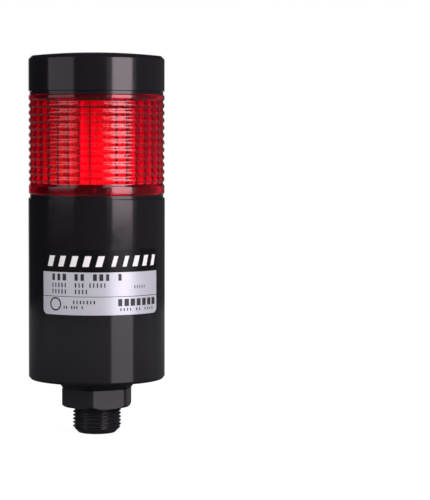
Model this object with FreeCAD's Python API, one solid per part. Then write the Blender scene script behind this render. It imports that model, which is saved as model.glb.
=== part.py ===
import FreeCAD, Part
import math
import os

# Single-tier signal tower light, 56 mm class, with a pipe-thread stem for panel mounting.
# Frame: z = 0 is the underside of the hexagon shoulder, which sits on the panel; +Z is up along
# the tower axis; -Y is the front, where the rating plate is. All sizes are millimetres.

TOWER_RADIUS = 28.0           # outside of the lens and the cap

# --- Mounting stem, hexagon and serrated collar (one moulding)
STEM_RADIUS = 10.0            # over the crests of the M20 x 1.5 thread
STEM_LENGTH = 11.0
STEM_NOSE_LENGTH = 2.4        # tapered lead-in below the last full thread
STEM_NOSE_TAPER = 2.4         # how far the lead-in tapers from the stem radius
WIRE_BORE_RADIUS = 6.0
HEX_ACROSS_FLATS = 27.0
HEX_HEIGHT = 7.7
HEX_CORNER_RADIUS = 2.8
HEX_TURNED_HEIGHT = 2.9       # height of the turned rounding on the shoulder corners
HEX_TURNED_DEPTH = 1.8
HEX_AZIMUTH = 16.0            # a flat faces this many degrees round from the front, towards +X
COLLAR_HEIGHT = 3.9
COLLAR_LOWER_RADIUS = 14.3
COLLAR_UPPER_RADIUS = 17.0
COLLAR_TEETH = 90
COLLAR_TOOTH_DEPTH = 0.75
COLLAR_TOOTH_LAND = 0.55       # share of the pitch that is left between two notches
SPIGOT_RADIUS = 9.2           # locates the stem moulding in the housing floor
SPIGOT_CLEARANCE = 0.15
SPIGOT_STEP = 0.2             # the spigot stops this far below the inside of the floor
STEM_SEAL_RADIUS = 14.1       # middle of the face seal between collar and housing
STEM_SEAL_WIDTH = 1.6
STEM_SEAL_DEPTH = 1.2

# --- Housing
HOUSING_HEIGHT = 74.7
HOUSING_STEP = 0.15           # the housing stands this far outside the tiers above it
HOUSING_WALL = 2.15
HOUSING_FLOOR = 3.0
FOOT_CHAMFER_HEIGHT = 1.0
FOOT_CHAMFER_DEPTH = 0.8
RIM_CHAMFER = 0.25
BOSS_HEAD_ROOM = 1.1          # between the deck screws' heads and the bayonet ring round them
BOSS_RADIUS = 3.0
BOSS_WEB = 2.0
BOSS_AZIMUTHS = (90.0, 210.0, 330.0)
GUIDE_RIB = 1.6               # thickness of the ribs that hold the main board

# --- Rating plate, a film wrapped round the front of the housing
PLATE_HEIGHT = 26.3
PLATE_BASE_Z = 40.0
PLATE_SPAN = 107.8            # degrees round the housing
PLATE_THICKNESS = 0.15
PLATE_CORNER_RADIUS = 2.2
PLATE_BOND = 0.02

# --- Screws
SCREW_RADIUS = 1.45           # M3 thread-forming screw
SCREW_HEAD_RADIUS = 2.7
SCREW_HEAD_HEIGHT = 1.9
SCREW_HOLE_CLEARANCE = 0.15
SCREW_PILOT_FIT = 0.02        # the modelled thread stands this far clear of its pilot hole
DRIVE_SLOT = 0.7
DRIVE_SPAN = 3.2
DRIVE_DEPTH = 1.0
STEM_SCREW_CIRCLE_RADIUS = 11.3
STEM_SCREW_LENGTH = 9.0
DECK_SCREW_LENGTH = 9.0
MODULE_SCREW_LENGTH = 7.0

# --- Bayonet joint, the same under the lens and under the cap
FLANGE_SETBACK = 0.5          # the flange stands back this far from the tower's outside
FLANGE_THICKNESS = 1.35
SEAM_GAP = 0.12               # between a flange and the piece that turns on it
SKIRT_WALL = 2.5              # wall of the skirt that slides over the bayonet ring
RING_WALL = 2.6
RING_HEIGHT = 4.3
SKIRT_CLEARANCE = 0.3         # between the bayonet ring and the skirt that slides over it
LUG_COUNT = 3
LUG_ARC = 12.0
LUG_HEIGHT = 1.4
LUG_RISE = 1.45               # underside of the lug above the flange
LUG_REACH = 1.1               # how far the lug goes into the ring's track
TRACK_CLEARANCE = 0.15
TRACK_ARC_CLEARANCE = 0.5
TURN = 25.0                   # degrees from locked to free
LUG_AZIMUTH = 30.0
RING_SEAL_WIDTH = 1.3
RING_SEAL_HEIGHT = 0.6
RING_SEAL_CLEARANCE = 0.08
LEDGE_PLATE = 1.8             # thickness of the plate across a bayonet moulding
LEDGE_PLATE_RISE = 0.3        # its top above the flange's underside

# --- Lens
LENS_HEIGHT = 40.65
LENS_FOOT_CHAMFER_HEIGHT = 0.65
LENS_FOOT_CHAMFER_DEPTH = 0.4
LENS_RIM_CHAMFER = 0.4
LENS_FOOT_BAND = 4.58         # smooth band from the lower edge to the first valley
LENS_RIB_PITCH = 3.02
LENS_RIB_COUNT = 11
LENS_RIB_DEPTH = 0.55
LENS_RIB_LAND = 0.8           # flat on each crest and in each valley
LENS_WALL = 2.3               # from the outside to the valleys between the inner flutes
LENS_FLUTES = 36
LENS_FLUTE_DEPTH = 0.5
LENS_SKIRT_HEIGHT = 4.3       # smooth bore over the bayonet ring
LENS_MOUTH_DEPTH = 2.15       # smooth bore round the collar at the top
COLLAR_FIT = 0.1              # between a bayonet moulding's collar and the bore round it

# --- Deck plug in the housing mouth
DECK_PLUG_DEPTH = 5.4
DECK_PLUG_WALL = 2.2
DECK_SEAL_HEIGHT = 1.5
DECK_SEAL_DEPTH = 1.1
DECK_SEAL_DROP = 1.4          # top of the seal groove below the flange

# --- Contacts between the tiers
CONTACT_COUNT = 6
CONTACT_CIRCLE_RADIUS = 11.5
CONTACT_WIDTH = 2.0
CONTACT_STRIP = 0.3
CONTACT_LENGTH = 8.0
CONTACT_FOOT = 2.2
CONTACT_GAP = 0.15
CONTACT_WINDOW_CLEARANCE = 0.6
PAD_ARC = 34.0
PAD_WIDTH = 2.8
PAD_THICKNESS = 0.35
PAD_PROUD = 0.15
PAD_PIN_RADIUS = 0.6
CONTACT_BOARD_CLEARANCE = 0.6  # to the screw posts round it
BOARD_THICKNESS = 1.6
PEG_CIRCLE_RADIUS = 13.7
PEG_RADIUS = 0.8
PEG_HEAD_RADIUS = 1.3
PEG_HEAD_HEIGHT = 0.5
PEG_CLEARANCE = 0.1

# --- Light engine inside the lens
MODULE_BASE_CLEARANCE = 0.4   # inside the bayonet ring
MODULE_BASE_RISE = 2.15       # its underside above the flange
MODULE_BASE_THICKNESS = 2.3
BASE_BOARD_CLEARANCE = 0.6    # inside the lens flutes
BASE_BOARD_THICKNESS = 1.0
COLUMN_WIDTH = 19.0
COLUMN_CORNER_RADIUS = 3.0
COLUMN_CORE_WALL = 1.5
COLUMN_WEB = 3.0
COLUMN_AZIMUTH = 16.0         # the boards face this many degrees round from the square
LED_BOARD_WIDTH = 12.0
LED_BOARD_THICKNESS = 1.6
LED_BOARD_INSET = 0.9         # lip that keeps the board in its slot
LED_BOARD_LIP = 1.4
LED_BOARD_CLEARANCE = 0.1
LED_PER_BOARD = 4
LED_SIZE = 3.8
LED_HEIGHT = 1.6
LED_BEVEL = 0.5

# --- Cap
CAP_SIDE_HEIGHT = 13.1
CAP_CHAMFER = 1.3
CAP_CROWN = 1.4
CAP_WALL = 2.3
CAP_TOP = 2.4
CAP_RIBS = 6
CAP_RIB_THICKNESS = 1.2
CAP_RIB_HEIGHT = 4.0
CAP_RIB_INNER_RADIUS = 5.0
CAP_BORE_STEP = 0.3           # the bore above the bayonet ring is this much wider

# --- Main board and what it carries
MAIN_BOARD_WIDTH = 44.0
MAIN_BOARD_FACE_Y = 6.0       # front face of the board
MAIN_BOARD_BASE_RISE = 8.0    # lower edge above the inside of the floor
MAIN_BOARD_TOP_GAP = 0.5
GUIDE_CLEARANCE = 0.1
TERMINAL_PITCH = 5.0
TERMINAL_DEPTH = 10.0
TERMINAL_HEIGHT = 12.5
TERMINAL_RISE = 3.0
TERMINAL_END_WALL = 0.6
TERMINAL_PORT = 3.6
TERMINAL_PORT_DEPTH = 7.0
TERMINAL_SCREW_RADIUS = 1.7
TERMINAL_SCREW_HEAD = 1.5
TERMINAL_SCREW_WELL = 2.4
HEADER_PITCH = 2.54
HEADER_DEPTH = 2.5
HEADER_HEIGHT = 2.5
HEADER_DROP = 0.6
HEADER_PIN = 0.64
HEADER_HOLE_CLEARANCE = 0.12
RECTIFIER_SIZE = (8.3, 3.3, 6.4)
RECTIFIER_PLACE = (-13.0, 30.0)
CHIP_SIZE = (9.3, 3.3, 6.4)
CHIP_PLACE = (-12.0, 43.0)
PACKAGE_STANDOFF = 0.4
PACKAGE_LEAD_WIDTH = 0.5
PACKAGE_LEAD_THICKNESS = 0.25
PACKAGE_DRAFT = 0.35
CAPACITOR_RADIUS = 4.0
CAPACITOR_LENGTH = 11.5
CAPACITOR_PLACE = (11.0, 33.0)
RESISTOR_RADIUS = 1.25
RESISTOR_LENGTH = 6.5
RESISTOR_COUNT = 3
RESISTOR_PITCH = 4.0
RESISTOR_PLACE = (11.0, 43.0)
RESISTOR_STANDOFF = 0.3
LEAD_RADIUS = 0.3
LEAD_BEND = 1.6

FRONT = -90.0                 # polar angle of the front, -Y
UP = FreeCAD.Vector(0, 0, 1)
ORIGIN = FreeCAD.Vector(0, 0, 0)

# --- Levels that follow from the sizes above
COLLAR_BASE_Z = HEX_HEIGHT
HOUSING_BASE_Z = COLLAR_BASE_Z + COLLAR_HEIGHT
FLOOR_TOP_Z = HOUSING_BASE_Z + HOUSING_FLOOR
HOUSING_TOP_Z = HOUSING_BASE_Z + HOUSING_HEIGHT
HOUSING_RADIUS = TOWER_RADIUS + HOUSING_STEP
HOUSING_BORE_RADIUS = HOUSING_RADIUS - HOUSING_WALL
DECK_TOP_Z = HOUSING_TOP_Z + FLANGE_THICKNESS
LENS_BASE_Z = DECK_TOP_Z + SEAM_GAP
LENS_TOP_Z = LENS_BASE_Z + LENS_HEIGHT
MODULE_TOP_Z = LENS_TOP_Z + FLANGE_THICKNESS
CAP_BASE_Z = MODULE_TOP_Z + SEAM_GAP
SKIRT_BORE_RADIUS = TOWER_RADIUS - SKIRT_WALL
RING_RADIUS = SKIRT_BORE_RADIUS - SKIRT_CLEARANCE
RING_INNER_RADIUS = RING_RADIUS - RING_WALL
FLANGE_RADIUS = TOWER_RADIUS - FLANGE_SETBACK
BOSS_CIRCLE_RADIUS = RING_INNER_RADIUS - BOSS_HEAD_ROOM - SCREW_HEAD_RADIUS
CONTACT_BOARD_RADIUS = BOSS_CIRCLE_RADIUS - BOSS_RADIUS - CONTACT_BOARD_CLEARANCE
LENS_BORE_RADIUS = TOWER_RADIUS - LENS_WALL
MODULE_BASE_RADIUS = RING_INNER_RADIUS - MODULE_BASE_CLEARANCE
BASE_BOARD_RADIUS = LENS_BORE_RADIUS - LENS_FLUTE_DEPTH - BASE_BOARD_CLEARANCE
BASE_Z = DECK_TOP_Z + MODULE_BASE_RISE
BASE_TOP_Z = BASE_Z + MODULE_BASE_THICKNESS
COLUMN_BASE_Z = BASE_TOP_Z + BASE_BOARD_THICKNESS


def plate_top(flange_z):
    """Top of the plate across a bayonet moulding whose flange starts at flange_z."""
    return flange_z + LEDGE_PLATE_RISE


def plate_under(flange_z):
    return plate_top(flange_z) - LEDGE_PLATE


COLUMN_TOP_Z = plate_under(LENS_TOP_Z) - BOARD_THICKNESS
MAIN_BOARD_BASE_Z = FLOOR_TOP_Z + MAIN_BOARD_BASE_RISE
MAIN_BOARD_TOP_Z = plate_under(HOUSING_TOP_Z) - BOARD_THICKNESS - MAIN_BOARD_TOP_GAP


def polar_point(radius, degrees, z=0.0):
    angle = math.radians(degrees)
    return FreeCAD.Vector(radius * math.cos(angle), radius * math.sin(angle), z)


def turned(shape, degrees):
    """A copy of the shape turned about the tower axis."""
    copy = shape.copy()
    copy.rotate(ORIGIN, UP, degrees)
    return copy


def disc(radius, low, high):
    return Part.makeCylinder(radius, high - low, FreeCAD.Vector(0, 0, low), UP)


def ring(inner, outer, low, high):
    return disc(outer, low, high).cut(disc(inner, low, high))


def post(radius, x, y, low, high):
    return Part.makeCylinder(radius, high - low, FreeCAD.Vector(x, y, low), UP)


def block(x0, x1, y0, y1, z0, z1):
    return Part.makeBox(x1 - x0, y1 - y0, z1 - z0, FreeCAD.Vector(x0, y0, z0))


def sector(inner, outer, low, high, start, end):
    """Part of a ring between two polar angles."""
    slab = Part.makeCylinder(outer, high - low, FreeCAD.Vector(0, 0, low), UP, end - start)
    return turned(slab, start).cut(disc(inner, low, high))


def revolved(outline):
    """Solid of revolution about the tower axis from a closed outline of edges in the XZ plane."""
    face = Part.Face(Part.Wire(outline))
    return face.revolve(ORIGIN, UP, 360)


def section_point(radius, z):
    return FreeCAD.Vector(radius, 0, z)


def line(start, end):
    return Part.LineSegment(start, end).toShape()


def arc(start, middle, end):
    return Part.Arc(start, middle, end).toShape()


def polyline(points, closed=True):
    ends = points[1:] + points[:1] if closed else points[1:]
    return [line(start, end) for start, end in zip(points, ends)]


def fused(shapes):
    first = shapes[0]
    if len(shapes) == 1:
        return first
    return first.fuse(shapes[1:]).removeSplitter()


def screw(length):
    """Cross-recess pan-head screw along -Z with the underside of its head at the origin."""
    head = Part.makeCylinder(SCREW_HEAD_RADIUS, SCREW_HEAD_HEIGHT, ORIGIN, UP)
    rim = [edge for edge in head.Edges if edge.BoundBox.ZMin > SCREW_HEAD_HEIGHT / 2]
    head = head.makeChamfer(SCREW_HEAD_HEIGHT * 0.35, rim)
    shank = Part.makeCylinder(SCREW_RADIUS, length, FreeCAD.Vector(0, 0, -length), UP)
    tip = [edge for edge in shank.Edges if edge.BoundBox.ZMax < -length / 2]
    shank = shank.makeChamfer(SCREW_RADIUS * 0.35, tip)
    solid = head.fuse(shank).removeSplitter()
    for across, along in ((DRIVE_SPAN, DRIVE_SLOT), (DRIVE_SLOT, DRIVE_SPAN)):
        slot = block(-across / 2, across / 2, -along / 2, along / 2,
                     SCREW_HEAD_HEIGHT - DRIVE_DEPTH, SCREW_HEAD_HEIGHT + 1)
        solid = solid.cut(slot)
    return solid


def placed(shape, position, degrees=0.0):
    copy = turned(shape, degrees)
    copy.translate(position)
    return copy


# --- Stem moulding -------------------------------------------------------------------------

def stem_screw_places():
    return [polar_point(STEM_SCREW_CIRCLE_RADIUS, azimuth) for azimuth in BOSS_AZIMUTHS]


def serrated_collar():
    """Cone of fine upright notches, lofted between two similar star outlines."""
    outlines = []
    root_share = 1 - COLLAR_TOOTH_DEPTH / COLLAR_UPPER_RADIUS
    pitch = 360.0 / COLLAR_TEETH
    half_land = pitch * COLLAR_TOOTH_LAND / 2
    for radius, z in ((COLLAR_LOWER_RADIUS, COLLAR_BASE_Z), (COLLAR_UPPER_RADIUS, HOUSING_BASE_Z)):
        points = []
        for tooth in range(COLLAR_TEETH):
            middle = pitch * tooth
            points.append(polar_point(radius, middle - half_land, z))
            points.append(polar_point(radius, middle + half_land, z))
            points.append(polar_point(radius * root_share, middle + pitch / 2, z))
        outlines.append(Part.Wire(polyline(points)))
    return Part.makeLoft(outlines, True, True)


def hexagon():
    """Spanner hexagon with soft corners, its shoulder corners turned round."""
    across_corners = HEX_ACROSS_FLATS / math.cos(math.radians(30))
    corners = [polar_point(across_corners / 2, FRONT + HEX_AZIMUTH + 30 + 60 * side) for side in range(6)]
    prism = Part.Face(Part.Wire(polyline(corners))).extrude(FreeCAD.Vector(0, 0, HEX_HEIGHT))
    uprights = [edge for edge in prism.Edges if edge.BoundBox.ZLength > HEX_HEIGHT / 2]
    prism = prism.makeFillet(HEX_CORNER_RADIUS, uprights)
    reach = across_corners / 2
    edge_radius = reach - HEX_TURNED_DEPTH
    bulge = section_point(edge_radius + HEX_TURNED_DEPTH * 0.7, HEX_TURNED_HEIGHT * 0.4)
    outline = [
        line(section_point(0, 0), section_point(edge_radius, 0)),
        arc(section_point(edge_radius, 0), bulge, section_point(reach, HEX_TURNED_HEIGHT)),
        line(section_point(reach, HEX_TURNED_HEIGHT), section_point(reach, HEX_HEIGHT)),
        line(section_point(reach, HEX_HEIGHT), section_point(0, HEX_HEIGHT)),
        line(section_point(0, HEX_HEIGHT), section_point(0, 0)),
    ]
    return prism.common(revolved(outline))


def stem_adapter():
    nose_radius = STEM_RADIUS - STEM_NOSE_TAPER
    nose_z = -STEM_LENGTH + STEM_NOSE_LENGTH
    stem = revolved(polyline([
        section_point(0, -STEM_LENGTH),
        section_point(nose_radius, -STEM_LENGTH),
        section_point(STEM_RADIUS, nose_z),
        section_point(STEM_RADIUS, 0),
        section_point(0, 0),
    ]))
    spigot = disc(SPIGOT_RADIUS, HOUSING_BASE_Z, FLOOR_TOP_Z - SPIGOT_STEP)
    solid = fused([stem, hexagon(), serrated_collar(), spigot])
    solid = solid.cut(disc(WIRE_BORE_RADIUS, -STEM_LENGTH, FLOOR_TOP_Z))
    solid = solid.cut(stem_seal())
    for place in stem_screw_places():
        pilot_depth = STEM_SCREW_LENGTH - HOUSING_FLOOR
        pilot = post(SCREW_RADIUS + SCREW_PILOT_FIT, place.x, place.y,
                     HOUSING_BASE_Z - pilot_depth, HOUSING_BASE_Z)
        solid = solid.cut(pilot)
    return solid


def stem_seal():
    """Square-section face seal, pressed flush into its groove in the collar."""
    inner = STEM_SEAL_RADIUS - STEM_SEAL_WIDTH / 2
    outer = STEM_SEAL_RADIUS + STEM_SEAL_WIDTH / 2
    return ring(inner, outer, HOUSING_BASE_Z - STEM_SEAL_DEPTH, HOUSING_BASE_Z)


def stem_screws():
    solids = []
    for place in stem_screw_places():
        solids.append(placed(screw(STEM_SCREW_LENGTH), place + FreeCAD.Vector(0, 0, FLOOR_TOP_Z)))
    return solids


# --- Housing -------------------------------------------------------------------------------

def boss_places():
    return [polar_point(BOSS_CIRCLE_RADIUS, azimuth) for azimuth in BOSS_AZIMUTHS]


def body_housing():
    """Tube with a floor, three screw posts under the deck and two slotted guides for the main board."""
    deck_z = plate_under(HOUSING_TOP_Z)
    solid = revolved(polyline([
        section_point(0, HOUSING_BASE_Z),
        section_point(HOUSING_RADIUS - FOOT_CHAMFER_DEPTH, HOUSING_BASE_Z),
        section_point(HOUSING_RADIUS, HOUSING_BASE_Z + FOOT_CHAMFER_HEIGHT),
        section_point(HOUSING_RADIUS, HOUSING_TOP_Z - RIM_CHAMFER),
        section_point(HOUSING_RADIUS - RIM_CHAMFER, HOUSING_TOP_Z),
        section_point(HOUSING_BORE_RADIUS, HOUSING_TOP_Z),
        section_point(HOUSING_BORE_RADIUS, FLOOR_TOP_Z),
        section_point(0, FLOOR_TOP_Z),
    ]))
    inside = disc(HOUSING_BORE_RADIUS + HOUSING_WALL / 2, FLOOR_TOP_Z, deck_z)
    plug_base_z = HOUSING_TOP_Z - DECK_PLUG_DEPTH
    features = []
    for azimuth, place in zip(BOSS_AZIMUTHS, boss_places()):
        features.append(post(BOSS_RADIUS, place.x, place.y, FLOOR_TOP_Z, deck_z))
        web = block(BOSS_CIRCLE_RADIUS, HOUSING_RADIUS, -BOSS_WEB / 2, BOSS_WEB / 2, FLOOR_TOP_Z,
                    plug_base_z - PEG_CLEARANCE)
        features.append(turned(web, azimuth).common(inside))
    board_back_y = MAIN_BOARD_FACE_Y + BOARD_THICKNESS
    guide_inner_x = MAIN_BOARD_WIDTH / 2 - GUIDE_RIB
    for side in (-1, 1):
        near, far = sorted((side * guide_inner_x, side * HOUSING_RADIUS))
        guide = block(near, far, MAIN_BOARD_FACE_Y - GUIDE_RIB, board_back_y + GUIDE_RIB, FLOOR_TOP_Z,
                      plug_base_z - PEG_CLEARANCE)
        features.append(guide.common(inside))
    solid = fused([solid] + features)
    reach = MAIN_BOARD_WIDTH / 2 + GUIDE_CLEARANCE
    front_y = MAIN_BOARD_FACE_Y - GUIDE_CLEARANCE
    solid = solid.cut(block(-reach, reach, front_y, board_back_y + GUIDE_CLEARANCE,
                            MAIN_BOARD_BASE_Z, HOUSING_TOP_Z))
    solid = solid.cut(disc(SPIGOT_RADIUS + SPIGOT_CLEARANCE, HOUSING_BASE_Z, FLOOR_TOP_Z))
    for place in stem_screw_places():
        hole = post(SCREW_RADIUS + SCREW_HOLE_CLEARANCE, place.x, place.y, HOUSING_BASE_Z, FLOOR_TOP_Z)
        solid = solid.cut(hole)
    pilot_base_z = deck_z - DECK_SCREW_LENGTH
    for place in boss_places():
        pilot = post(SCREW_RADIUS + SCREW_PILOT_FIT, place.x, place.y, pilot_base_z, deck_z)
        solid = solid.cut(pilot)
    return solid


def name_plate():
    """Thin film with round corners, bent round the front of the housing."""
    inner = HOUSING_RADIUS + PLATE_BOND
    top_z = PLATE_BASE_Z + PLATE_HEIGHT
    start = FRONT - PLATE_SPAN / 2
    film = sector(inner, inner + PLATE_THICKNESS, PLATE_BASE_Z, top_z, start, start + PLATE_SPAN)
    for side in (-1, 1):
        edge_angle = FRONT + side * PLATE_SPAN / 2
        for level, inward in ((PLATE_BASE_Z, 1), (top_z, -1)):
            film = film.cut(corner_waste(edge_angle, level, inward, side))
    return film


def corner_waste(edge_angle, level, inward, side):
    """What a rounded film corner leaves out: a small block less the corner's round."""
    size = PLATE_CORNER_RADIUS
    centre_angle = edge_angle - side * math.degrees(size / HOUSING_RADIUS)
    depth = 4 * HOUSING_WALL
    start_r = HOUSING_RADIUS - depth / 2
    near, far = sorted((0.0, side * 2 * size))
    low, high = sorted((level + inward * size, level - inward * size))
    waste = block(start_r, start_r + depth, near, far, low, high)
    centre = FreeCAD.Vector(start_r - 1, 0, level + inward * size)
    waste = waste.cut(Part.makeCylinder(size, depth + 2, centre, FreeCAD.Vector(1, 0, 0)))
    return turned(waste, centre_angle)


# --- Bayonet moulding: the deck on the housing and the top of the light module ---------------

def bayonet_tracks(flange_z):
    """L-shaped tracks: a drop-in channel from the top, then a run round to the locked stop."""
    top_of_flange = flange_z + FLANGE_THICKNESS
    inner = SKIRT_BORE_RADIUS - SKIRT_CLEARANCE - LUG_REACH
    outer = RING_RADIUS + SKIRT_CLEARANCE
    low = top_of_flange + LUG_RISE - TRACK_CLEARANCE
    high = top_of_flange + LUG_RISE + LUG_HEIGHT + TRACK_CLEARANCE
    half = LUG_ARC / 2 + TRACK_ARC_CLEARANCE
    tracks = []
    for lug in range(LUG_COUNT):
        locked = LUG_AZIMUTH + 360.0 * lug / LUG_COUNT
        tracks.append(sector(inner, outer, low, high, locked - half, locked + TURN + half))
        tracks.append(sector(inner, outer, low, top_of_flange + RING_HEIGHT + 1,
                             locked + TURN - half, locked + TURN + half))
    return tracks


def bayonet_lugs(flange_top_z, skirt_outer):
    """Lugs on the inside of a skirt, in the locked position over a flange."""
    inner = RING_RADIUS - LUG_REACH + TRACK_CLEARANCE
    low = flange_top_z + LUG_RISE
    lugs = []
    for lug in range(LUG_COUNT):
        locked = LUG_AZIMUTH + 360.0 * lug / LUG_COUNT
        lugs.append(sector(inner, skirt_outer, low, low + LUG_HEIGHT,
                           locked - LUG_ARC / 2, locked + LUG_ARC / 2))
    return lugs


def contact_angles():
    return [FRONT + 360.0 * contact / CONTACT_COUNT for contact in range(CONTACT_COUNT)]


def peg_angles():
    return [angle + 180.0 / CONTACT_COUNT for angle in contact_angles()[::2]]


def bayonet_moulding(flange_z, collar_depth, collar_outer, collar_wall):
    """Flange, collar below it, slotted ring above it, and a windowed plate across the inside."""
    flange_top = flange_z + FLANGE_THICKNESS
    top = plate_top(flange_z)
    under = plate_under(flange_z)
    solid = fused([
        ring(RING_INNER_RADIUS, FLANGE_RADIUS, flange_z, flange_top),
        ring(RING_INNER_RADIUS, RING_RADIUS, flange_z, flange_top + RING_HEIGHT),
        ring(collar_outer - collar_wall, collar_outer, flange_z - collar_depth, flange_top),
        disc(collar_outer - collar_wall / 2, under, top),
    ])
    for track in bayonet_tracks(flange_z):
        solid = solid.cut(track)
    window_width = CONTACT_WIDTH + CONTACT_WINDOW_CLEARANCE
    window_length = CONTACT_LENGTH + CONTACT_WINDOW_CLEARANCE
    window = block(CONTACT_CIRCLE_RADIUS - window_width / 2, CONTACT_CIRCLE_RADIUS + window_width / 2,
                   -window_length / 2, window_length / 2, under - 1, top + 1)
    for angle in contact_angles():
        solid = solid.cut(turned(window, angle))
    pegs = []
    head_z = under - BOARD_THICKNESS
    for angle in peg_angles():
        place = polar_point(PEG_CIRCLE_RADIUS, angle)
        pegs.append(post(PEG_RADIUS, place.x, place.y, head_z, under + LEDGE_PLATE / 2))
        pegs.append(post(PEG_HEAD_RADIUS, place.x, place.y, head_z - PEG_HEAD_HEIGHT, head_z))
    return fused([solid] + pegs)


def body_deck():
    plug_radius = HOUSING_BORE_RADIUS - COLLAR_FIT
    solid = bayonet_moulding(HOUSING_TOP_Z, DECK_PLUG_DEPTH, plug_radius, DECK_PLUG_WALL)
    solid = solid.cut(deck_seal())
    under = plate_under(HOUSING_TOP_Z)
    hole_radius = SCREW_RADIUS + SCREW_HOLE_CLEARANCE
    for place in boss_places():
        solid = solid.cut(post(hole_radius, place.x, place.y, under, DECK_TOP_Z))
    return solid


def deck_seal():
    """Square-section ring that closes the housing mouth, in a groove round the deck's plug."""
    outer = HOUSING_BORE_RADIUS - COLLAR_FIT
    high = HOUSING_TOP_Z - DECK_SEAL_DROP
    return ring(outer - DECK_SEAL_DEPTH, outer, high - DECK_SEAL_HEIGHT, high)


def deck_screws():
    top = plate_top(HOUSING_TOP_Z)
    seat = FreeCAD.Vector(0, 0, top)
    return [placed(screw(DECK_SCREW_LENGTH), place + seat) for place in boss_places()]


def ring_seal(flange_z):
    """Flat rubber ring round the foot of a bayonet ring, inside the rebate of the skirt above."""
    inner = RING_RADIUS + RING_SEAL_CLEARANCE
    low = flange_z + FLANGE_THICKNESS
    return ring(inner, inner + RING_SEAL_WIDTH, low, low + RING_SEAL_HEIGHT)


def seal_rebate(skirt_base_z):
    outer = RING_RADIUS + RING_SEAL_WIDTH + 3 * RING_SEAL_CLEARANCE
    return disc(outer, skirt_base_z, skirt_base_z + RING_SEAL_HEIGHT + RING_SEAL_CLEARANCE - SEAM_GAP)


# --- Contacts --------------------------------------------------------------------------------

def contact_board(flange_z, pin_places=()):
    high = plate_under(flange_z)
    low = high - BOARD_THICKNESS
    board = disc(CONTACT_BOARD_RADIUS, low, high)
    for angle in peg_angles():
        place = polar_point(PEG_CIRCLE_RADIUS, angle)
        board = board.cut(post(PEG_RADIUS + PEG_CLEARANCE, place.x, place.y, low, high))
    hole = HEADER_PIN / 2 + HEADER_HOLE_CLEARANCE
    for x, y in pin_places:
        board = board.cut(block(x - hole, x + hole, y - hole, y + hole, low, high))
    return board


def spring_contact(height):
    """Bent strip: a flat foot, a rising leg and a rounded crown that comes down to a free end."""
    half = CONTACT_LENGTH / 2
    strip = CONTACT_STRIP
    crown = height - strip
    points = [(-half, 0), (-half + CONTACT_FOOT, 0), (half * 0.15, crown), (half * 0.65, crown),
              (half, crown * 0.6)]
    bottom = [FreeCAD.Vector(0, along, up) for along, up in points]
    top = [FreeCAD.Vector(0, along, up + strip) for along, up in reversed(points)]
    face = Part.Face(Part.Wire(polyline(bottom + top)))
    strip_solid = face.extrude(FreeCAD.Vector(CONTACT_WIDTH, 0, 0))
    strip_solid.translate(FreeCAD.Vector(CONTACT_CIRCLE_RADIUS - CONTACT_WIDTH / 2, 0, 0))
    return strip_solid


def spring_contacts(flange_z):
    """Springs on a contact board, up through the windows to just under the pads of the next tier."""
    foot_z = plate_under(flange_z)
    pad_face_z = flange_z + FLANGE_THICKNESS + MODULE_BASE_RISE - PAD_PROUD
    spring = spring_contact(pad_face_z - CONTACT_GAP - foot_z)
    return [placed(spring, FreeCAD.Vector(0, 0, foot_z), angle) for angle in contact_angles()]


def base_contacts():
    """Arc pads under the module base, each with a pin through to the base board."""
    low = BASE_Z - PAD_PROUD
    solids = []
    for angle in contact_angles():
        inner = CONTACT_CIRCLE_RADIUS - PAD_WIDTH / 2
        pad = sector(inner, inner + PAD_WIDTH, low, low + PAD_THICKNESS,
                     angle - PAD_ARC / 2, angle + PAD_ARC / 2)
        place = polar_point(CONTACT_CIRCLE_RADIUS, angle)
        pin = post(PAD_PIN_RADIUS, place.x, place.y, low + PAD_THICKNESS / 2, BASE_TOP_Z)
        solids.append(fused([pad, pin]))
    return solids


# --- Light module ----------------------------------------------------------------------------

def lens_outline():
    """Outside of the lens from foot to rim: smooth foot band, bevelled ribs, smooth rim band."""
    root_radius = TOWER_RADIUS - LENS_RIB_DEPTH
    root_z = LENS_BASE_Z + LENS_FOOT_BAND
    points = [
        section_point(TOWER_RADIUS - LENS_FOOT_CHAMFER_DEPTH, LENS_BASE_Z),
        section_point(TOWER_RADIUS, LENS_BASE_Z + LENS_FOOT_CHAMFER_HEIGHT),
        section_point(TOWER_RADIUS, root_z - LENS_RIB_PITCH / 2 + LENS_RIB_LAND / 2),
    ]
    for rib in range(LENS_RIB_COUNT):
        valley_z = root_z + rib * LENS_RIB_PITCH
        crest_z = valley_z + LENS_RIB_PITCH / 2
        points.append(section_point(root_radius, valley_z - LENS_RIB_LAND / 2))
        points.append(section_point(root_radius, valley_z + LENS_RIB_LAND / 2))
        points.append(section_point(TOWER_RADIUS, crest_z - LENS_RIB_LAND / 2))
        points.append(section_point(TOWER_RADIUS, crest_z + LENS_RIB_LAND / 2))
    last_valley_z = root_z + LENS_RIB_COUNT * LENS_RIB_PITCH
    points += [
        section_point(root_radius, last_valley_z - LENS_RIB_LAND / 2),
        section_point(root_radius, last_valley_z + LENS_RIB_LAND / 2),
        section_point(TOWER_RADIUS, last_valley_z + LENS_RIB_PITCH / 2 - LENS_RIB_LAND / 2),
        section_point(TOWER_RADIUS, LENS_TOP_Z - LENS_RIM_CHAMFER),
        section_point(TOWER_RADIUS - LENS_RIM_CHAMFER, LENS_TOP_Z),
    ]
    return points


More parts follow.
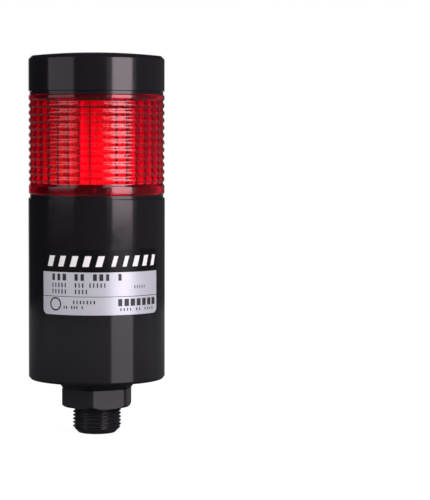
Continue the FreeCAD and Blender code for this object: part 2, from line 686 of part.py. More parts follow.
def fluted_bore(low, high):
    """Prism of the space inside the lens: shallow convex flutes that meet in sharp valleys."""
    step = 360.0 / LENS_FLUTES
    edges = []
    for flute in range(LENS_FLUTES):
        start = FRONT + flute * step
        crest = polar_point(LENS_BORE_RADIUS - LENS_FLUTE_DEPTH, start + step / 2, low)
        edges.append(arc(polar_point(LENS_BORE_RADIUS, start, low), crest,
                         polar_point(LENS_BORE_RADIUS, start + step, low)))
    return Part.Face(Part.Wire(edges)).extrude(FreeCAD.Vector(0, 0, high - low))


def lens():
    middle = [section_point(0, LENS_TOP_Z), section_point(0, LENS_BASE_Z)]
    solid = revolved(polyline(lens_outline() + middle))
    skirt_top = LENS_BASE_Z + LENS_SKIRT_HEIGHT
    mouth_z = LENS_TOP_Z - LENS_MOUTH_DEPTH
    solid = solid.cut(disc(SKIRT_BORE_RADIUS, LENS_BASE_Z, skirt_top))
    solid = solid.cut(fluted_bore(skirt_top, mouth_z))
    solid = solid.cut(disc(module_collar_radius() + COLLAR_FIT, mouth_z, LENS_TOP_Z))
    lugs = bayonet_lugs(DECK_TOP_Z, SKIRT_BORE_RADIUS + SKIRT_CLEARANCE)
    return fused([solid] + lugs).cut(seal_rebate(LENS_BASE_Z))


def module_collar_radius():
    return LENS_BORE_RADIUS - COLLAR_FIT


def module_top():
    solid = bayonet_moulding(LENS_TOP_Z, LENS_MOUTH_DEPTH, module_collar_radius(), DECK_PLUG_WALL)
    return solid.cut(disc(SCREW_RADIUS + SCREW_HOLE_CLEARANCE, COLUMN_TOP_Z, MODULE_TOP_Z))


def module_base():
    """Black carrier disc that drops into the deck's ring and holds the arc pads."""
    solid = disc(MODULE_BASE_RADIUS, BASE_Z, BASE_TOP_Z)
    solid = solid.cut(disc(SCREW_RADIUS + SCREW_HOLE_CLEARANCE, BASE_Z, BASE_TOP_Z))
    for contact in base_contacts():
        solid = solid.cut(contact)
    return solid


def base_board():
    """Round white board above the carrier; its top throws the light upwards."""
    solid = disc(BASE_BOARD_RADIUS, BASE_TOP_Z, COLUMN_BASE_Z)
    return solid.cut(disc(SCREW_RADIUS + SCREW_HOLE_CLEARANCE, BASE_TOP_Z, COLUMN_BASE_Z))


def led_column():
    """Square core with four slots for the boards, open down the middle, a screw boss at each end."""
    half = COLUMN_WIDTH / 2
    solid = block(-half, half, -half, half, COLUMN_BASE_Z, COLUMN_TOP_Z)
    uprights = [edge for edge in solid.Edges if edge.BoundBox.ZLength > COLUMN_WIDTH]
    solid = solid.makeFillet(COLUMN_CORNER_RADIUS, uprights)
    slot_half = LED_BOARD_WIDTH / 2 + LED_BOARD_CLEARANCE
    slot_outer = half - LED_BOARD_INSET
    slot_inner = slot_outer - LED_BOARD_THICKNESS - 2 * LED_BOARD_CLEARANCE
    mouth_half = slot_half - LED_BOARD_LIP
    for side in range(4):
        slot = block(slot_inner, slot_outer, -slot_half, slot_half, COLUMN_BASE_Z, COLUMN_TOP_Z)
        mouth = block(slot_inner, half + 1, -mouth_half, mouth_half, COLUMN_BASE_Z, COLUMN_TOP_Z)
        solid = solid.cut(turned(slot.fuse(mouth), 90 * side))
    core = slot_inner - COLUMN_CORE_WALL
    core_low = COLUMN_BASE_Z + COLUMN_WEB
    core_high = COLUMN_TOP_Z - COLUMN_WEB
    solid = solid.cut(block(-core, core, -core, core, core_low, core_high))
    pilot = SCREW_RADIUS + SCREW_PILOT_FIT
    solid = solid.cut(disc(pilot, COLUMN_BASE_Z, core_low))
    return turned(solid.cut(disc(pilot, core_high, COLUMN_TOP_Z)), COLUMN_AZIMUTH)


def led_board_face():
    return COLUMN_WIDTH / 2 - LED_BOARD_INSET - LED_BOARD_CLEARANCE


def led_boards():
    half = LED_BOARD_WIDTH / 2
    face = led_board_face()
    board = block(face - LED_BOARD_THICKNESS, face, -half, half, COLUMN_BASE_Z, COLUMN_TOP_Z)
    return [turned(board, COLUMN_AZIMUTH + 90 * side) for side in range(4)]


def leds():
    """Square emitters with bevelled tops in a column down the face of each board."""
    face = led_board_face()
    spacing = (COLUMN_TOP_Z - COLUMN_BASE_Z) / LED_PER_BOARD
    half = LED_SIZE / 2
    solids = []
    for row in range(LED_PER_BOARD):
        z = COLUMN_BASE_Z + (row + 0.5) * spacing
        emitter = block(face, face + LED_HEIGHT, -half, half, z - half, z + half)
        top_edges = [edge for edge in emitter.Edges if edge.BoundBox.XMin > face + LED_HEIGHT / 2]
        emitter = emitter.makeChamfer(LED_BEVEL, top_edges)
        solids += [turned(emitter, COLUMN_AZIMUTH + 90 * side) for side in range(4)]
    return solids


def module_screws():
    """One screw up through the base into the column, one down through the top."""
    lower = screw(MODULE_SCREW_LENGTH - LEDGE_PLATE)
    lower.rotate(ORIGIN, FreeCAD.Vector(1, 0, 0), 180)
    lower.translate(FreeCAD.Vector(0, 0, BASE_Z))
    upper = placed(screw(MODULE_SCREW_LENGTH - LEDGE_PLATE), FreeCAD.Vector(0, 0, plate_top(LENS_TOP_Z)))
    return [lower, upper]


# --- Cap -------------------------------------------------------------------------------------

def head_cap():
    """Moulded cap with a bevelled edge, a slightly crowned top, lugs in the skirt and ribs inside."""
    side_top = CAP_BASE_Z + CAP_SIDE_HEIGHT
    bevel_top = side_top + CAP_CHAMFER
    crown_top = bevel_top + CAP_CROWN
    bevel_radius = TOWER_RADIUS - CAP_CHAMFER
    crown_radius = (bevel_radius ** 2 + CAP_CROWN ** 2) / (2 * CAP_CROWN)
    outside = revolved(polyline([
        section_point(0, CAP_BASE_Z),
        section_point(TOWER_RADIUS, CAP_BASE_Z),
        section_point(TOWER_RADIUS, side_top),
        section_point(bevel_radius, bevel_top),
        section_point(bevel_radius, crown_top),
        section_point(0, crown_top),
    ]))
    centre = FreeCAD.Vector(0, 0, crown_top - crown_radius)
    crown = Part.makeSphere(crown_radius, centre, UP, -90, 90, 360)
    outside = outside.common(crown)
    ring_top = MODULE_TOP_Z + RING_HEIGHT + SKIRT_CLEARANCE
    ceiling = bevel_top - CAP_TOP
    solid = outside.cut(disc(SKIRT_BORE_RADIUS, CAP_BASE_Z, ring_top))
    upper_bore = min(SKIRT_BORE_RADIUS + CAP_BORE_STEP, TOWER_RADIUS - CAP_WALL)
    solid = solid.cut(disc(upper_bore, ring_top, ceiling))
    half = CAP_RIB_THICKNESS / 2
    rib = block(CAP_RIB_INNER_RADIUS, upper_bore + CAP_WALL / 2, -half, half,
                ceiling - CAP_RIB_HEIGHT, ceiling + CAP_TOP / 3)
    ribs = [turned(rib, 360.0 * index / CAP_RIBS) for index in range(CAP_RIBS)]
    lugs = bayonet_lugs(MODULE_TOP_Z, SKIRT_BORE_RADIUS + SKIRT_CLEARANCE)
    return fused([solid] + ribs + lugs).cut(seal_rebate(CAP_BASE_Z))


# --- Main board and its components -------------------------------------------------------------

def main_board():
    half = MAIN_BOARD_WIDTH / 2
    return block(-half, half, MAIN_BOARD_FACE_Y, MAIN_BOARD_FACE_Y + BOARD_THICKNESS,
                 MAIN_BOARD_BASE_Z, MAIN_BOARD_TOP_Z)


def row_places(count, pitch):
    return [(index - (count - 1) / 2) * pitch for index in range(count)]


def terminal_block():
    """Screw terminal strip: wire ports underneath, screw wells in the front."""
    half = CONTACT_COUNT * TERMINAL_PITCH / 2 + TERMINAL_END_WALL
    low = MAIN_BOARD_BASE_Z + TERMINAL_RISE
    high = low + TERMINAL_HEIGHT
    front = MAIN_BOARD_FACE_Y - TERMINAL_DEPTH
    bevel = TERMINAL_DEPTH / 4
    outline = polyline([
        FreeCAD.Vector(-half, MAIN_BOARD_FACE_Y, low),
        FreeCAD.Vector(-half, front, low),
        FreeCAD.Vector(-half, front, high - bevel),
        FreeCAD.Vector(-half, front + bevel, high),
        FreeCAD.Vector(-half, MAIN_BOARD_FACE_Y, high),
    ])
    solid = Part.Face(Part.Wire(outline)).extrude(FreeCAD.Vector(2 * half, 0, 0))
    port = TERMINAL_PORT / 2
    port_y = front + TERMINAL_DEPTH / 2
    well_radius = TERMINAL_SCREW_RADIUS + SCREW_HOLE_CLEARANCE
    for x in row_places(CONTACT_COUNT, TERMINAL_PITCH):
        solid = solid.cut(block(x - port, x + port, port_y - port, port_y + port,
                                low, low + TERMINAL_PORT_DEPTH))
        mouth = FreeCAD.Vector(x, front, terminal_screw_z())
        well = Part.makeCylinder(well_radius, TERMINAL_SCREW_WELL, mouth, FreeCAD.Vector(0, 1, 0))
        solid = solid.cut(well)
    return solid


def terminal_screw_z():
    return MAIN_BOARD_BASE_Z + TERMINAL_RISE + TERMINAL_PORT_DEPTH / 2


def terminal_screws():
    """Slotted screws seated in the bottoms of the wells."""
    seat_y = MAIN_BOARD_FACE_Y - TERMINAL_DEPTH + TERMINAL_SCREW_WELL
    front_y = seat_y - TERMINAL_SCREW_HEAD
    solids = []
    for x in row_places(CONTACT_COUNT, TERMINAL_PITCH):
        head = Part.makeCylinder(TERMINAL_SCREW_RADIUS, TERMINAL_SCREW_HEAD,
                                 FreeCAD.Vector(x, front_y, terminal_screw_z()), FreeCAD.Vector(0, 1, 0))
        slot = block(x - TERMINAL_SCREW_RADIUS - 1, x + TERMINAL_SCREW_RADIUS + 1, front_y,
                     front_y + DRIVE_DEPTH / 2, terminal_screw_z() - DRIVE_SLOT / 2,
                     terminal_screw_z() + DRIVE_SLOT / 2)
        solids.append(head.cut(slot))
    return solids


def header_places():
    y = MAIN_BOARD_FACE_Y - HEADER_DEPTH / 2
    return [(x, y) for x in row_places(CONTACT_COUNT, HEADER_PITCH)]


def board_header():
    """Pin strip on the main board, its pins up through the contact board, one block each way."""
    half = CONTACT_COUNT * HEADER_PITCH / 2
    high = MAIN_BOARD_TOP_Z - HEADER_DROP
    low = high - HEADER_HEIGHT
    solids = [block(-half, half, MAIN_BOARD_FACE_Y - HEADER_DEPTH, MAIN_BOARD_FACE_Y, low, high)]
    pin = HEADER_PIN / 2
    for x, y in header_places():
        solids.append(block(x - pin, x + pin, y - pin, y + pin, high - HEADER_HEIGHT / 2,
                            plate_under(HOUSING_TOP_Z) - PEG_CLEARANCE))
    return fused(solids)


def chip_package(size, place):
    """Moulded package standing on four leads against the front of the main board."""
    width, depth, height = size
    x, rise = place
    z = MAIN_BOARD_BASE_Z + rise
    face = MAIN_BOARD_FACE_Y - PACKAGE_STANDOFF
    draft = PACKAGE_DRAFT
    outlines = []
    for y, shrink in ((face, draft), (face - depth / 2, 0.0), (face - depth, draft)):
        half_x = width / 2 - shrink
        half_z = height / 2 - shrink
        outlines.append(Part.Wire(polyline([
            FreeCAD.Vector(x - half_x, y, z - half_z),
            FreeCAD.Vector(x + half_x, y, z - half_z),
            FreeCAD.Vector(x + half_x, y, z + half_z),
            FreeCAD.Vector(x - half_x, y, z + half_z),
        ])))
    body = Part.makeLoft(outlines, True, True)
    leads = []
    for side in (-1, 1):
        outer = height / 2 + PACKAGE_LEAD_THICKNESS + draft
        low, high = sorted((z + side * (height / 2 - draft), z + side * outer))
        foot_low, foot_high = sorted((z + side * (outer - PACKAGE_LEAD_THICKNESS), z + side * outer))
        for offset in (-width / 4, width / 4):
            left = x + offset - PACKAGE_LEAD_WIDTH / 2
            right = left + PACKAGE_LEAD_WIDTH
            middle = face - depth / 2
            leads.append(block(left, right, middle, middle + PACKAGE_LEAD_THICKNESS, low, high))
            leads.append(block(left, right, middle, MAIN_BOARD_FACE_Y, foot_low, foot_high))
    return fused([body] + leads)


def smoothing_capacitor():
    """Aluminium can standing off the board on its rubber bung, with a rolled groove near the foot."""
    x, rise = CAPACITOR_PLACE
    groove = CAPACITOR_RADIUS * 0.12
    waist = CAPACITOR_RADIUS - groove
    points = [
        (0, 0),
        (CAPACITOR_RADIUS, 0),
        (CAPACITOR_RADIUS, 3 * groove),
        (waist, 4 * groove),
        (CAPACITOR_RADIUS, 5 * groove),
        (CAPACITOR_RADIUS, CAPACITOR_LENGTH - groove),
        (waist, CAPACITOR_LENGTH),
        (0, CAPACITOR_LENGTH),
    ]
    can = revolved(polyline([section_point(radius, z) for radius, z in points]))
    can.rotate(ORIGIN, FreeCAD.Vector(1, 0, 0), 90)
    can.translate(FreeCAD.Vector(x, MAIN_BOARD_FACE_Y, MAIN_BOARD_BASE_Z + rise))
    return can


def resistors():
    """Leaded resistors lying across the board, their wire ends bent back into it."""
    x, rise = RESISTOR_PLACE
    y = MAIN_BOARD_FACE_Y - RESISTOR_STANDOFF - RESISTOR_RADIUS
    reach = RESISTOR_LENGTH / 2 + LEAD_BEND
    wire = LEAD_RADIUS
    solids = []
    for index in range(RESISTOR_COUNT):
        z = MAIN_BOARD_BASE_Z + rise + index * RESISTOR_PITCH
        body = Part.makeCylinder(RESISTOR_RADIUS, RESISTOR_LENGTH,
                                 FreeCAD.Vector(x - RESISTOR_LENGTH / 2, y, z), FreeCAD.Vector(1, 0, 0))
        leads = [block(x - reach, x + reach, y - wire, y + wire, z - wire, z + wire)]
        for side in (-1, 1):
            near, far = sorted((x + side * reach, x + side * (reach - 2 * wire)))
            leads.append(block(near, far, y - wire, MAIN_BOARD_FACE_Y, z - wire, z + wire))
        solids.append(fused([body] + leads))
    return solids


# --- The nodes ---------------------------------------------------------------------------------

NODES = {
    "stem_adapter": stem_adapter,
    "stem_seal": stem_seal,
    "stem_screws": stem_screws,
    "body_housing": body_housing,
    "name_plate": name_plate,
    "body_deck": body_deck,
    "deck_seal": deck_seal,
    "deck_screws": deck_screws,
    "lens_seal": lambda: ring_seal(HOUSING_TOP_Z),
    "deck_contact_board": lambda: contact_board(HOUSING_TOP_Z, header_places()),
    "deck_contacts": lambda: spring_contacts(HOUSING_TOP_Z),
    "main_board": main_board,
    "board_header": board_header,
    "terminal_block": terminal_block,
    "terminal_screws": terminal_screws,
    "bridge_rectifier": lambda: chip_package(RECTIFIER_SIZE, RECTIFIER_PLACE),
    "flasher_chip": lambda: chip_package(CHIP_SIZE, CHIP_PLACE),
    "smoothing_capacitor": smoothing_capacitor,
    "resistors": resistors,
    "lens": lens,
    "module_top": module_top,
    "module_base": module_base,
    "base_contacts": base_contacts,
    "base_board": base_board,
    "led_column": led_column,
    "led_boards": led_boards,
    "leds": leds,
    "top_contact_board": lambda: contact_board(LENS_TOP_Z).cut(
        disc(SCREW_RADIUS + SCREW_HOLE_CLEARANCE, COLUMN_TOP_Z, LENS_TOP_Z)),
    "top_contacts": lambda: spring_contacts(LENS_TOP_Z),
    "module_screws": module_screws,
    "cap_seal": lambda: ring_seal(LENS_TOP_Z),
    "head_cap": head_cap,
}

os.makedirs("parts", exist_ok=True)
for name, build in NODES.items():
    made = build()
    shape = Part.makeCompound(made) if isinstance(made, list) else made
    shape.exportStep(f"parts/{name}.step")
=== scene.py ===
import bpy
import bmesh
import math
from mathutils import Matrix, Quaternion, Vector


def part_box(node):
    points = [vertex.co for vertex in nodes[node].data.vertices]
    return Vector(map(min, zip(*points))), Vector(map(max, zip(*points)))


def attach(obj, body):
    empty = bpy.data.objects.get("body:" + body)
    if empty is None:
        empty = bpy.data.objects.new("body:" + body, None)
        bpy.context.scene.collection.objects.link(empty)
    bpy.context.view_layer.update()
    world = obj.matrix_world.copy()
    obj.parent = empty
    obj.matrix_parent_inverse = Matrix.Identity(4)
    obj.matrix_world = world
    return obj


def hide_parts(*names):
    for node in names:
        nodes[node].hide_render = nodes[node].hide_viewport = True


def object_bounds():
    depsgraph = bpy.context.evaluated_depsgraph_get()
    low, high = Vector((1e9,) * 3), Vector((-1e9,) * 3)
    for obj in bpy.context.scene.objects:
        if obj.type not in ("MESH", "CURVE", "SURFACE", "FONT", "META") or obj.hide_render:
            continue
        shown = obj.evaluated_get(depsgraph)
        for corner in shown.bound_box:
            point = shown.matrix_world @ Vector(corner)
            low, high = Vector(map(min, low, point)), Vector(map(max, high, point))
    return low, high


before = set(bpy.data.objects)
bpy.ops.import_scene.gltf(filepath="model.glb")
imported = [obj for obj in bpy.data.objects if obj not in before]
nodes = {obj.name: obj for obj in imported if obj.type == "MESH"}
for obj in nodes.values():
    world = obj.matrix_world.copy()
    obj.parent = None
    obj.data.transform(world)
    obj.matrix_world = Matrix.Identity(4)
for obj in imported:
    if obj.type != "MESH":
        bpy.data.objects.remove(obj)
cad_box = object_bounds()
MM = 0.001


# --- Stem adapter
# One black glass-filled nylon moulding: a threaded stem with a tapered nose, a spanner hexagon
# and a serrated collar. Three screws through the housing floor hold it to the body.
STEM_CREST = 10.0 * MM
STEM_ROOT = 9.08 * MM
STEM_PITCH = 1.5 * MM
STEM_START = -2.35 * MM       # height of a crest at the tower's left side
ROOT_FLAT = 0.12              # share of the half pitch that is root, and that is flank
FLANK_SHARE = 0.76
RUNOUT_START = -1.3 * MM      # the thread runs out into an undercut below the hexagon
RUNOUT_LENGTH = 0.7 * MM
UNDERCUT = 0.05 * MM
STEM_NOSE = (-8.6 * MM, -11.0 * MM, 7.6 * MM)
NOSE_BULGE = 1.35
HEXAGON_FLATS = (0.0, 7.9 * MM)
DIE_FOOT = -11.2 * MM
DIE_STEP = 0.1 * MM
DIE_ROWS = 112
DIE_SIDES = 160
DIE_OPENING = ((40.0, -0.02), (40.0, 40.0), (0.0, 40.0))      # radius and height, millimetres
NOISE_SPAN = (0.3, 0.7)       # most of the noise lies between these


def add_node(tree, kind, sockets=(), **settings):
    """A new node with its settings made and its sockets joined or filled."""
    node = tree.nodes.new(kind)
    for key, value in settings.items():
        setattr(node, key, value)
    for key, value in dict(sockets).items():
        if isinstance(value, bpy.types.NodeSocket):
            tree.links.new(value, node.inputs[key])
        else:
            node.inputs[key].default_value = value
    return node


def calc(tree, operation, *values):
    """One sum on the values; gives its result."""
    return add_node(tree, "ShaderNodeMath", dict(enumerate(values)), operation=operation).outputs[0]


def ranged(tree, value, low, high, start=0.0, end=1.0):
    """The value carried from the span low to high over to the span start to end."""
    node = add_node(tree, "ShaderNodeMapRange", {
        "Value": value, "From Min": low, "From Max": high, "To Min": start, "To Max": end})
    return node.outputs[0]


def noise(tree, scale, detail=3.0, stretch=(1.0, 1.0, 1.0)):
    """Noise over the piece, its features about 1/scale metres across."""
    place = add_node(tree, "ShaderNodeTexCoord").outputs["Object"]
    turned = add_node(tree, "ShaderNodeMapping", {"Vector": place, "Scale": stretch}).outputs[0]
    return add_node(tree, "ShaderNodeTexNoise", {
        "Vector": turned, "Scale": scale, "Detail": detail}).outputs[0]


def mixed(tree, share, first, second):
    """Two colours mixed by a share of the second; each is a socket or red, green and blue."""
    mix = add_node(tree, "ShaderNodeMix", {"Factor": share}, data_type="RGBA")
    for index, colour in ((6, first), (7, second)):
        if isinstance(colour, bpy.types.NodeSocket):
            tree.links.new(colour, mix.inputs[index])
        else:
            mix.inputs[index].default_value = (*colour, 1.0)
    return mix.outputs[2]


def overlay(tree, share, colour):
    """Lays a colour over the finish's own colour where the share is above nothing."""
    base = tree.nodes["Principled BSDF"].inputs["Base Color"]
    tree.links.new(mixed(tree, share, base.links[0].from_socket, colour), base)


def relief(tree, height, depth):
    """Normals of a fine relief, its depth in millimetres."""
    return add_node(tree, "ShaderNodeBump", {
        "Height": height, "Strength": 1.0, "Distance": depth * MM}).outputs[0]


def finish(name, colour, shade, roughness, spread=0.05, grain=900.0, depth=0.004, **shader_sockets):
    """A surface finish: two close colours in soft patches, uneven gloss and a fine relief."""
    material = bpy.data.materials.new(name)
    material.use_nodes = True
    tree = material.node_tree
    shader = tree.nodes["Principled BSDF"]
    for socket, value in shader_sockets.items():
        shader.inputs[socket.replace("_", " ")].default_value = value
    patches = noise(tree, scale=55.0)
    tree.links.new(mixed(tree, patches, colour, shade), shader.inputs["Base Color"])
    gloss = ranged(tree, noise(tree, scale=130.0, detail=5.0), *NOISE_SPAN,
                   start=roughness - spread, end=roughness + spread)
    tree.links.new(gloss, shader.inputs["Roughness"])
    tree.links.new(relief(tree, noise(tree, grain, detail=2.0), depth), shader.inputs["Normal"])
    return material


def black_finish(name, roughness, grain, depth, edge=0.18, lift=0.0):
    """Gloss black thermoplastic: soft moulded edges with a rub of grey; lift pales the black."""
    dark = (0.0068 + lift, 0.0061 + lift, 0.0087 + 1.2 * lift)
    pale = (0.0082 + lift, 0.0074 + lift, 0.0104 + 1.2 * lift)
    material = finish(name, dark, pale, roughness, spread=0.03, grain=grain, depth=depth)
    tree = material.node_tree
    soft = add_node(tree, "ShaderNodeBevel", {"Radius": edge * MM}, samples=6).outputs[0]
    grained = tree.nodes["Principled BSDF"].inputs["Normal"].links[0].from_node
    tree.links.new(soft, grained.inputs["Normal"])
    sharp = add_node(tree, "ShaderNodeNewGeometry").outputs["Normal"]
    bend = add_node(tree, "ShaderNodeVectorMath", {0: soft, 1: sharp}, operation="DOT_PRODUCT")
    edges = calc(tree, "SUBTRACT", 1.0, bend.outputs["Value"])
    rubbed = calc(tree, "MULTIPLY", edges, noise(tree, scale=420.0, detail=4.0))
    overlay(tree, calc(tree, "MINIMUM", rubbed, 0.5), (0.03, 0.03, 0.032))
    return material


def new_piece(name, mesh, material):
    """An object made of the mesh, in one material."""
    mesh.name = name
    piece = bpy.data.objects.new(name, mesh)
    bpy.context.scene.collection.objects.link(piece)
    piece.data.materials.clear()
    piece.data.materials.append(material)
    return piece


def joined_copy(node):
    """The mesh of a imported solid, copied, with its loose triangles joined."""
    mesh = nodes[node].data.copy()
    bm = bmesh.new()
    bm.from_mesh(mesh)
    bmesh.ops.remove_doubles(bm, verts=bm.verts, dist=0.0005 * MM)
    bmesh.ops.dissolve_degenerate(bm, edges=bm.edges, dist=0.0001 * MM)
    bm.to_mesh(mesh)
    bm.free()
    return mesh


def turned_normals(mesh, limit=32.0, flats=(0.0, 0.0)):
    """Normals of the true turned surface, in place of those of its facets; walls at the heights
    between flats are left as they are."""
    edge_dot = math.cos(math.radians(limit))
    upright = 0.05                # a wall's normal rises or falls by less than this
    facing = 0.9975               # and a turned facet looks straight out or in, within 4 degrees
    round_here = [[] for _ in mesh.vertices]
    for facet in mesh.polygons:
        for corner in facet.vertices:
            round_here[corner].append(facet.index)
    flat = [facet.normal.copy() for facet in mesh.polygons]
    areas = [facet.area for facet in mesh.polygons]
    normals = []
    for facet in mesh.polygons:
        own = flat[facet.index]
        level = Vector((own.x, own.y))
        out = Vector((facet.center.x, facet.center.y))
        side = 0
        flat_wall = flats[0] < facet.center.z < flats[1] and abs(own.z) < upright
        if level.length > 1e-3 and out.length > 1e-5 and not flat_wall:
            aligned = level.normalized().dot(out.normalized())
            side = (aligned > facing) - (aligned < -facing)
        for corner in facet.vertices:
            total = Vector()
            for index in round_here[corner]:
                if flat[index].dot(own) > edge_dot:
                    total += flat[index] * areas[index]
            normal = total.normalized() if total.length > 0 else own
            if side:
                place = mesh.vertices[corner].co
                radial = Vector((place.x, place.y)).normalized() * side
                reach = math.sqrt(max(0.0, 1.0 - normal.z ** 2))
                normal = Vector((radial.x * reach, radial.y * reach, normal.z))
            normals.append(normal)
    mesh.normals_split_custom_set(normals)


def grid_mesh(rows, columns, point):
    """A mesh of rows round the tower axis; the seam and the poles are closed."""
    mesh = bpy.data.meshes.new("rows")
    places = [point(row, 2 * math.pi * column / columns)
              for row in range(rows) for column in range(columns)]
    facets = []
    for row in range(rows - 1):
        for column in range(columns):
            beside = (column + 1) % columns
            facets.append((row * columns + column, row * columns + beside,
                           (row + 1) * columns + beside, (row + 1) * columns + column))
    mesh.from_pydata(places, [], facets)
    bm = bmesh.new()
    bm.from_mesh(mesh)
    bmesh.ops.remove_doubles(bm, verts=bm.verts, dist=0.002 * MM)
    bmesh.ops.recalc_face_normals(bm, faces=bm.faces)
    bm.to_mesh(mesh)
    bm.free()
    return mesh


def die_point(row, angle):
    """Inside of the die that cuts the thread: stem thread below, wide open above the shoulder."""
    if row >= len(die_levels):
        radius, z = DIE_OPENING[row - len(die_levels)]
        return (radius * MM * math.cos(angle), radius * MM * math.sin(angle), z * MM)
    z = die_levels[row]
    turn = (z - STEM_START) / STEM_PITCH - (angle - math.pi) / (2 * math.pi)
    along = abs((turn % 1.0) - 0.5) * 2           # 1 on a crest, 0 in a root
    vee = min(1.0, max(0.0, (along - ROOT_FLAT) / FLANK_SHARE))
    radius = STEM_ROOT + (STEM_CREST - STEM_ROOT) * vee
    runout = min(1.0, max(0.0, (z - RUNOUT_START) / RUNOUT_LENGTH))
    radius += (STEM_ROOT - UNDERCUT - radius) * runout
    nose_top, nose_tip, nose_radius = STEM_NOSE
    if z < nose_top:
        share = (nose_top - z) / (nose_top - nose_tip)
        limit = STEM_CREST - (STEM_CREST - nose_radius) * share ** NOSE_BULGE
        radius = min(radius, limit)
    if row == 0:
        radius = 0.0
    return (radius * math.cos(angle), radius * math.sin(angle), z)


die_levels = [DIE_FOOT + DIE_STEP * row for row in range(DIE_ROWS)]
die_mesh = grid_mesh(len(die_levels) + len(DIE_OPENING), DIE_SIDES, die_point)
black_nylon = black_finish("black_nylon", roughness=0.20, grain=1400.0, depth=0.004,
                           edge=0.12, lift=0.009)
stem = new_piece("threaded_stem_adapter", joined_copy("stem_adapter"), black_nylon)
die = new_piece("thread_die", die_mesh, black_nylon)
cut = stem.modifiers.new("thread", "BOOLEAN")
cut.operation = "INTERSECT"
cut.solver = "EXACT"
cut.object = die
bpy.context.view_layer.update()
evaluated = stem.evaluated_get(bpy.context.evaluated_depsgraph_get())
threaded = bpy.data.meshes.new_from_object(evaluated)
stem.modifiers.clear()
stem.data = threaded
bpy.data.objects.remove(die)
turned_normals(threaded, limit=40.0, flats=HEXAGON_FLATS)
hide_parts("stem_adapter")
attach(stem, "base_unit")


# --- Stem seal and stem screws
# A nitrile face seal lies in the collar's groove, and three zinc-plated thread-forming screws
# go down through the housing floor into the collar.
def dress(names, material):
    """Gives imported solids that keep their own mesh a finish."""
    for name in names:
        for place in nodes[name].material_slots:
            place.material = material


seal_rubber = finish("nitrile_rubber", (0.010, 0.010, 0.011), (0.018, 0.018, 0.019),
                     roughness=0.62, spread=0.12, grain=2600.0, depth=0.012)
zinc_steel = finish("zinc_steel", (0.52, 0.53, 0.55), (0.40, 0.41, 0.42),
                    roughness=0.30, spread=0.10, grain=3000.0, depth=0.003, Metallic=1.0)
dress(["stem_seal"], seal_rubber)
dress(["stem_screws"], zinc_steel)


# --- Housing
# Black gloss ABS moulding: a straight tube closed by a floor, with three screw posts and the
# guides of the main board inside. It comes polished from the tool and has no paint.
POLISHED_ABS = (0.115, 650.0, 0.0022)         # roughness, grain and depth of the relief


def smooth_copy(node, name, material):
    """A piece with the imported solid's own form and true smooth curves."""
    piece = new_piece(name, joined_copy(node), material)
    turned_normals(piece.data)
    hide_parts(node)
    return piece


black_abs = black_finish("black_abs", *POLISHED_ABS)
housing = smooth_copy("body_housing", "housing_shell", black_abs)
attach(housing, "base_unit")


# --- Rating plate
# Polyester film with a satin silver face, printed with a black head and a fine rule, and bonded
# round the front of the housing. Its print is plain bars: it carries no words or marks.
PLATE_HEAD_Z = 57.2 * MM
PLATE_RULE_Z = 47.4 * MM
PLATE_RULE = 0.11 * MM
PLATE_FACE = 28.322 * MM
PRINT_DEPTH = 0.012 * MM
HEAD_SLANT = 0.28
# Lines of print, in millimetres: start and end along the plate, height on the tower, height of
# the bars, their width and the gap between them; then, in the field, the bars left out.
HEAD_LINES = ((-23.5, 0.5, 61.6, 4.3, 2.7, 2.6), (3.8, 25.3, 61.6, 4.3, 2.4, 2.35))
FIELD_LINES = ((-21.7, 11.0, 55.2, 2.7, 1.6, 0.95, (3, 6, 10, 12)),
               (-21.6, 2.0, 52.0, 1.8, 0.62, 0.86, (5, 6, 10)),
               (-21.6, -5.8, 49.4, 1.8, 0.62, 0.86, (5, 6)),
               (13.6, 19.0, 51.2, 1.2, 0.5, 0.7, ()),
               (-12.0, -2.2, 45.2, 1.4, 0.6, 0.8, ()),
               (-16.2, -7.4, 43.1, 1.2, 0.6, 0.5, (2, 6)),
               (6.2, 25.4, 45.0, 2.9, 2.1, 0.72, ()),
               (7.2, 24.8, 42.2, 1.1, 0.6, 0.85, (4, 7)))
RING_MARK = (-20.0, 44.3, 2.75, 0.62)         # middle, height, outer radius and line, millimetres
RING_STEPS = 48


def print_finish(name, colour, shade, roughness, spread=0.06, **shader_sockets):
    """Finish of a printed film: hardly any relief."""
    return finish(name, colour, shade, roughness, spread, grain=5200.0, depth=0.0012,
                  **shader_sockets)


silver_film = print_finish("silver_film", (0.56, 0.575, 0.605), (0.62, 0.635, 0.66),
                           roughness=0.36, Metallic=0.35)
tree = silver_film.node_tree
height = add_node(tree, "ShaderNodeSeparateXYZ", {
    "Vector": add_node(tree, "ShaderNodeTexCoord").outputs["Object"]}).outputs["Z"]
off_rule = calc(tree, "ABSOLUTE", calc(tree, "SUBTRACT", height, PLATE_RULE_Z))
brushing = noise(tree, scale=240.0, detail=6.0, stretch=(0.15, 0.15, 9.0))
overlay(tree, brushing, (0.58, 0.61, 0.70))
overlay(tree, calc(tree, "LESS_THAN", off_rule, PLATE_RULE), (0.004, 0.004, 0.005))
head_ink = print_finish("black_head_ink", (0.0030, 0.0028, 0.0036), (0.0042, 0.0040, 0.0050),
                        roughness=0.30, spread=0.05, Specular_IOR_Level=0.18)
plate = new_piece("plate_film", joined_copy("name_plate"), silver_film)
plate.data.materials.append(head_ink)
bm = bmesh.new()
bm.from_mesh(plate.data)
bmesh.ops.bisect_plane(bm, geom=bm.verts[:] + bm.edges[:] + bm.faces[:],
                       plane_co=(0.0, 0.0, PLATE_HEAD_Z), plane_no=(0.0, 0.0, 1.0))
for facet in bm.faces:
    facet.material_index = int(facet.calc_center_median().z > PLATE_HEAD_Z)
bm.to_mesh(plate.data)
bm.free()
turned_normals(plate.data)
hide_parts("name_plate")
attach(plate, "base_unit")


